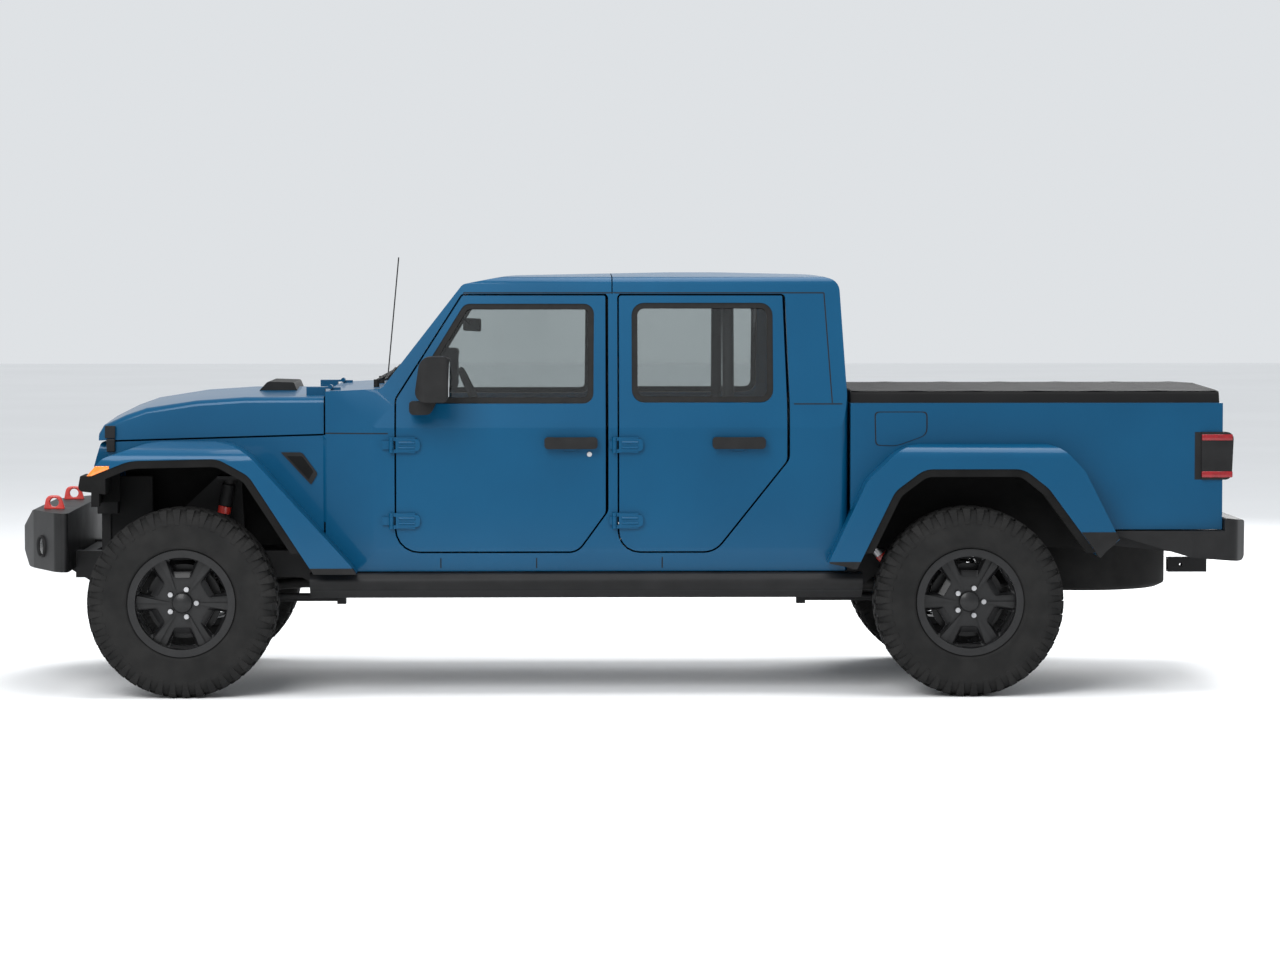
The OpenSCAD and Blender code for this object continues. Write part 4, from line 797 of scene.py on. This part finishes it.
def addSkinPlate(bm, names, outline, proud, depth, sideSign):
    skin = [(x, outerY(names, x, z, sideSign), z) for x, z in outline]
    addLayers(bm, [(x, y + sideSign * proud, z) for x, y, z in skin],
              [(x, y - sideSign * depth, z) for x, y, z in skin])


def finishTrim(bm, name, finishName, body, edge=0.0):
    bmesh.ops.recalc_face_normals(bm, faces=bm.faces)
    obj = newObject(name, meshFrom(bm, name, smooth=False), finishName, body)
    if edge > 0:
        soften(obj, edge)


# The gutter strip is partly the real roof panel seam and partly painted shadow: a dark line standing for the shade
# under the roof panel's lower edge.
seams = {"nodes": ("cab_tub", "roof_panels", "front_fenders", "windshield_frame"), "width": 0.005,
         "proud": 0.0006, "sillX": (-0.838, -0.412, 0.147), "sillZ": (0.566, 0.634),
         "gutter": ((-0.738, 1.7895), (0.872, 1.7895)), "pillar": ((0.872, 1.7895), (0.905, 1.300)),
         "hardtop": ((0.712, 1.296), (0.950, 1.296)), "cowl": ((-1.350, 1.166), (-1.072, 1.166)),
         "joint": ((-1.354, 0.770), (-1.354, 1.158)), "jointWidth": 0.014}


def panelSeams():
    bm, jointBm = bmesh.new(), bmesh.new()
    lines = [[(x, z) for z in seams["sillZ"]] for x in seams["sillX"]]
    # the gutter line is a dark strip for the seam and for the painted shadow under the roof panel's edge
    lines += [seams[name] for name in ("gutter", "pillar", "hardtop", "cowl")]
    for sideSign in leftRight:
        for line in lines:
            addSkinLine(bm, seams["nodes"], line, seams["width"], seams["proud"], sideSign)
        addSkinLine(jointBm, seams["nodes"], seams["joint"], seams["jointWidth"], seams["proud"], sideSign)
    finishTrim(bm, "panelSeams", "sealRubber", "chassis")
    finishTrim(jointBm, "fenderJoints", "bodyPaint", "chassis")


# Door hinge straps and the raised lips under the handles; strap places are from the hinge
hingeStrap = {"levels": (0.778, 1.115), "ends": ((0.020, 0.034, 0.004), (0.128, 0.026, 0.020)),
              "proud": 0.018, "sink": 0.002, "skinAt": 0.158, "rib": (0.034, 0.104), "ribRadius": 0.006,
              "ribGap": 0.011, "ribSides": 12}
scoop = {"middleX": {"f": -0.262, "r": 0.488}, "z": 1.103, "radii": (0.050, 0.022), "arc": (200, 340),
         "points": 12, "width": 0.006, "proud": 0.003}


def addHingeStrap(bm, door, hingeX, level, sideSign):
    skin = skinY(door, hingeX + hingeStrap["skinAt"], level, sideSign)
    out = skin + sideSign * hingeStrap["proud"]
    outline = [point + Vector((hingeX, level)) for point in trapezoid(hingeStrap["ends"])]
    addPlate(bm, outline, out, skin - sideSign * hingeStrap["sink"])
    fore, aft = (hingeX + along for along in hingeStrap["rib"])
    for step in (-1, 1):
        z = level + step * hingeStrap["ribGap"]
        addTube(bm, (fore, out, z), (aft, out, z), hingeStrap["ribRadius"], hingeStrap["ribSides"])


def scoopPath(door):
    middleX = scoop["middleX"][door[len("door_")]]
    start, end = scoop["arc"]
    spread = [start + (end - start) * i / (scoop["points"] - 1) for i in range(scoop["points"])]
    turns = [polar(1.0, math.radians(degrees), 0) for degrees in spread]
    return [(middleX + x * scoop["radii"][0], scoop["z"] + z * scoop["radii"][1]) for x, z, _ in turns]


def doorTrim():
    for door, sideSign in doorSide.items():
        bm = bmesh.new()
        for level in hingeStrap["levels"]:
            addHingeStrap(bm, door, joints[door + "_hinge"]["pos_m"][0], level, sideSign)
        addSkinLine(bm, (door,), scoopPath(door), scoop["width"], scoop["proud"], sideSign)
        finishTrim(bm, "doorTrim_" + door, "bodyPaint", door, trimEdge)


# Black end caps on the flares: node, stretch of X that holds the end, height of the cap
flareTip = {"ends": (("front_fenders", -1.45, -1.15, 0.024), ("bed_box", 0.80, 1.06, 0.030),
                     ("bed_box", 1.95, 2.25, 0.110)),
            "plane": 0.93, "proud": 0.003, "depth": 0.05, "rows": 5, "edge": 0.003, "pitch": 0.004,
            "lowest": 0.55, "rise": 0.002, "tries": 60}


def flareSpan(node, x0, x1, z):
    pitch = flareTip["pitch"]
    steps = [x0 + pitch * i for i in range(int((x1 - x0) / pitch) + 1)]
    inside = [x for x in steps if abs(skinY(node, x, z, -1) or 0) > flareTip["plane"]]
    return (inside[0], inside[-1]) if inside else None


def flareTips():
    bm = bmesh.new()
    edge = flareTip["edge"]
    levels = [flareTip["lowest"] + flareTip["rise"] * i for i in range(flareTip["tries"])]
    for node, x0, x1, height in flareTip["ends"]:
        low = min(z for z in levels if flareSpan(node, x0, x1, z))
        rows = [low + height * i / (flareTip["rows"] - 1) for i in range(flareTip["rows"])]
        spans = [flareSpan(node, x0, x1, z) for z in rows]
        fore = [(span[0] - edge, z) for span, z in zip(spans, rows)]
        aft = [(span[1] + edge, z) for span, z in zip(spans, rows)]
        outline = [(fore[0][0], low - edge)] + fore[1:] + aft[:0:-1] + [(aft[0][0], low - edge)]
        for sideSign in leftRight:
            out = skinY(node, sum(spans[-1]) / 2, rows[-1], sideSign)
            addPlate(bm, outline, out + sideSign * flareTip["proud"], out - sideSign * flareTip["depth"])
    finishTrim(bm, "flareTips", "blackPlastic", "chassis", trimEdge)


# Strips behind the door gaps, over the rear doors and at the middle pillar
doorSeal = {"y": (0.636, 0.651), "edge": 0.004,
            "strips": (((0.0, 0.700), (1.764, 1.786)), ((-0.108, -0.058), (0.660, 1.764)))}


def doorSeals():
    bm = bmesh.new()
    for xs, zs in doorSeal["strips"]:
        for sideSign in leftRight:
            addSideBox(bm, xs, doorSeal["y"], zs, sideSign, doorSeal["edge"])
    finishTrim(bm, "doorSeals", "sealRubber", "chassis")


lock = {"x": -0.177, "z": 1.073, "radius": 0.011, "proud": 0.004}


def keyLock():
    x, z = lock["x"], lock["z"]
    y = skinY("door_fl", x, z, -1)
    bm = bmesh.new()
    addTube(bm, (x, y - lock["proud"], z), (x, y + lock["proud"], z), lock["radius"])
    finishTrim(bm, "keyLock", "brightSteel", "door_fl")


roomMirror = {"place": (-0.712, 0, 1.637), "size": (0.020, 0.240, 0.060), "turn": 18, "edge": 0.008,
              "stalk": (-0.070, 0, 0.050), "stalkRadius": 0.008}


def insideMirror():
    bm = bmesh.new()
    half = Vector(roomMirror["size"]) / 2
    middle = Vector(roomMirror["place"])
    addBox(bm, -half, half, roomMirror["edge"])
    bm.transform(Matrix.Translation(middle) @ Matrix.Rotation(math.radians(roomMirror["turn"]), 4, "Z"))
    addTube(bm, middle, middle + Vector(roomMirror["stalk"]), roomMirror["stalkRadius"])
    finishTrim(bm, "insideMirror", "blackPlastic", "chassis")


doorMirror = {"y": (0.885, 1.020), "fromTop": (0.175, 0.025), "sink": 0.002, "proud": 0.003, "edge": 0.0015,
              "behind": 0.6}


def mirrorGlasses():
    for door in ("door_fl", "door_fr"):
        node, sideSign = door + "_fittings", doorSide[door]
        zs = [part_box(node)[1][2] - drop for drop in doorMirror["fromTop"]]
        start = Vector((doorMirror["behind"], sideSign * sum(doorMirror["y"]) / 2, sum(zs) / 2))
        back = nodes[node].ray_cast(start, Vector((-1, 0, 0)))[1].x
        xs = (back - doorMirror["sink"], back + doorMirror["proud"])
        bm = bmesh.new()
        addSideBox(bm, xs, doorMirror["y"], zs, sideSign, doorMirror["edge"])
        finishTrim(bm, "mirrorGlass_" + door, "mirrorGlass", door)


fenderVent = {"corners": ((-1.552, 1.080, 0.006), (-1.456, 1.080, 0.012), (-1.386, 0.986, 0.010),
                          (-1.416, 0.936, 0.006)),
              "proud": 0.006, "depth": 0.01, "screen": 0.72, "screenProud": 0.007}


def fenderVents():
    rims, screens = bmesh.new(), bmesh.new()
    outline = roundedOutline(fenderVent["corners"])
    opening = grown(outline, fenderVent["screen"])
    for sideSign in leftRight:
        addSkinPlate(rims, ("front_fenders",), outline, fenderVent["proud"], fenderVent["depth"], sideSign)
        addSkinPlate(screens, ("front_fenders",), opening, fenderVent["screenProud"], 0.0, sideSign)
    finishTrim(rims, "fenderVents", "blackPlastic", "chassis")
    finishTrim(screens, "ventScreens", "linerPlastic", "chassis")


fuelDoor = {"corners": ((1.097, 1.258, 0.020), (1.323, 1.258, 0.020), (1.323, 1.158, 0.030),
                        (1.190, 1.110, 0.030), (1.101, 1.114, 0.018)),
            "groove": 1.05, "grooveProud": 0.0006, "proud": 0.002, "depth": 0.01}


def fuelFiller():
    outline = roundedOutline(fuelDoor["corners"])
    middle = middleOf(outline)
    y = skinY("bed_box", middle.x, middle.y, -1)
    for name, share, proud, finishName, slotName in (
            ("fuelDoorGroove", fuelDoor["groove"], fuelDoor["grooveProud"], "sealRubber", "black_plastic"),
            ("fuelDoor", 1.0, fuelDoor["proud"], "bodyPaint", "body_paint")):
        bm = bmesh.new()
        addPlate(bm, grown(outline, share), y - proud, y + fuelDoor["depth"])
        finishTrim(bm, name, finishName, "chassis")


panelSeams()
doorTrim()
flareTips()
doorSeals()
keyLock()
insideMirror()
mirrorGlasses()
fenderVents()
fuelFiller()
print("side trim made")


# Front trim: grille corner blocks, hood latch keepers, splash plates, fog lamps
frontBlock = {"edge": 0.004,
              "grilleCorner": ((-2.386, -2.292), (0.490, 0.569), (0.797, 0.882)),
              "latchKeeper": ((-2.336, -2.298), (0.556, 0.634), (1.078, 1.136)),
              "splashPlate": ((-2.350, -2.150), (0.404, 0.416), (0.640, 0.960))}
fogLamp = {"y": 0.545, "z": 0.650, "ahead": -3.2, "steps": 36,  # outlines are radii and heights on the bumper
           "bezel": ((0.050, -0.012), (0.050, 0.0072), (0.047, 0.012), (0.041, 0.0072), (0.041, -0.004)),
           "lens": ((0.041, 0.001), (0.0246, 0.006), (0.000041, 0.0072))}


def frontBlocks():
    bm = bmesh.new()
    for name in ("grilleCorner", "latchKeeper", "splashPlate"):
        for sideSign in leftRight:
            addSideBox(bm, *frontBlock[name], sideSign, frontBlock["edge"])
    finishTrim(bm, "frontBlocks", "blackPlastic", "chassis")


def fogLampMatrix(sideSign):
    start = Vector((fogLamp["ahead"], sideSign * fogLamp["y"], fogLamp["z"]))
    place, normal = nodes["front_bumper"].ray_cast(start, Vector((1, 0, 0)))[1:3]
    return Matrix.Translation(place) @ normal.to_track_quat("Z", "Y").to_matrix().to_4x4()


def fogLamps():
    for name, piece, finishName, slotName in (("fogBezels", "bezel", "blackPlastic", "black_plastic"),
                                              ("fogLenses", "lens", "lampGlass", "front_lens")):
        bm = bmesh.new()
        for sideSign in leftRight:
            addLathe(bm, fogLamp[piece], fogLamp["steps"], fogLampMatrix(sideSign))
        bmesh.ops.recalc_face_normals(bm, faces=bm.faces)
        newObject(name, meshFrom(bm, name), finishName, "chassis")


frontBlocks()
fogLamps()
print("front trim made")


# Damper caps, bands and rear reservoirs on the CAD dampers' lines; spans are shares from foot to head
damper = {"y": 0.535,
          "front": {"wheel": "fl", "foot": (0.085, 0.0), "head": (0.190, 0.5445)},
          "rear": {"wheel": "rl", "foot": (-0.085, 0.0), "head": (-0.385, 0.3695)},
          "cap": (0.752, 0.93), "capRadius": 0.032, "band": (0.690, 0.750), "bandRadius": 0.030,
          "can": (0.40, 0.76), "canRadius": 0.026, "canOffset": 0.100, "canBand": (0.60, 0.68),
          "canBandRadius": 0.0275, "clamps": (0.50, 0.71), "clampRadius": 0.008, "clampSides": 12}


def damperPoint(end, share, sideSign, offset=0.0):
    line = damper[end]
    centre = wheelCentre[line["wheel"]]
    foot, head = Vector(line["foot"]), Vector(line["head"])
    along = (head - foot).normalized()
    spot = foot + (head - foot) * share + Vector((-along.y, along.x)) * offset
    return Vector((centre.x + spot.x, sideSign * damper["y"], centre.z + spot.y))


def addDamperTube(bm, end, span, radius, sideSign, offset=0.0):
    start, stop = (damperPoint(end, share, sideSign, offset) for share in span)
    addTube(bm, start, stop, radius)


def damperTrim():
    caps, bands, cans = bmesh.new(), bmesh.new(), bmesh.new()
    gap = damper["canOffset"]
    for sideSign in leftRight:
        addDamperTube(caps, "front", damper["cap"], damper["capRadius"], sideSign)
        addDamperTube(bands, "front", damper["band"], damper["bandRadius"], sideSign)
        addDamperTube(cans, "rear", damper["can"], damper["canRadius"], sideSign, gap)
        addDamperTube(bands, "rear", damper["canBand"], damper["canBandRadius"], sideSign, gap)
        for share in damper["clamps"]:
            addTube(caps, damperPoint("rear", share, sideSign, gap), damperPoint("rear", share, sideSign),
                    damper["clampRadius"], damper["clampSides"])
    for bm, name, finishName, slotName in ((caps, "damperCaps", "blackSteel", "black_steel"),
                                           (bands, "damperBands", "hookRed", "hook_red"),
                                           (cans, "damperReservoirs", "brightSteel", "bright_steel")):
        finishTrim(bm, name, finishName, "chassis", trimEdge)


damperTrim()
print("damper trim made")


# Stage, light and camera
studio = {"floorHalf": 60, "sky": (0.92, 0.95, 0.98, 1), "skyStrength": 0.8, "aim": (0, 0, 0.8),
          "lights": (("keyLight", (-4, -9, 7), 6, 950), ("topLight", (1, 0, 8), 7, 650),
                     ("backLight", (5, 8, 6), 6, 600))}  # place, size, power
view = {"place": (-0.350, -18.75, 1.912), "pitch": 3.04, "yaw": 1.27, "lens": 113.7, "sensor": 36.0}


def makeStage():
    bm = bmesh.new()
    bmesh.ops.create_grid(bm, x_segments=1, y_segments=1, size=studio["floorHalf"])
    floor = linked("floor", meshFrom(bm, "floor"))
    floor.data.materials.append(finish["floorPale"])
    world = bpy.data.worlds.new("studio")
    world.use_nodes = True
    background = world.node_tree.nodes["Background"]
    background.inputs["Color"].default_value = studio["sky"]
    background.inputs["Strength"].default_value = studio["skyStrength"]
    bpy.context.scene.world = world
    for name, place, size, power in studio["lights"]:
        light = bpy.data.lights.new(name, "AREA")
        light.size = size
        light.energy = power
        lamp = linked(name, light)
        lamp.location = place
        lamp.rotation_euler = (Vector(studio["aim"]) - Vector(place)).to_track_quat("-Z", "Y").to_euler()


def makeCamera():
    camera = bpy.data.cameras.new("camera")
    camera.lens = view["lens"]
    camera.sensor_width = view["sensor"]
    obj = linked("camera", camera)
    obj.location = view["place"]
    obj.rotation_euler = (math.radians(90 - view["pitch"]), 0, math.radians(-view["yaw"]))
    bpy.context.scene.camera = obj


makeStage()
makeCamera()
bpy.context.scene.view_settings.view_transform = "Standard"
print("stage made")
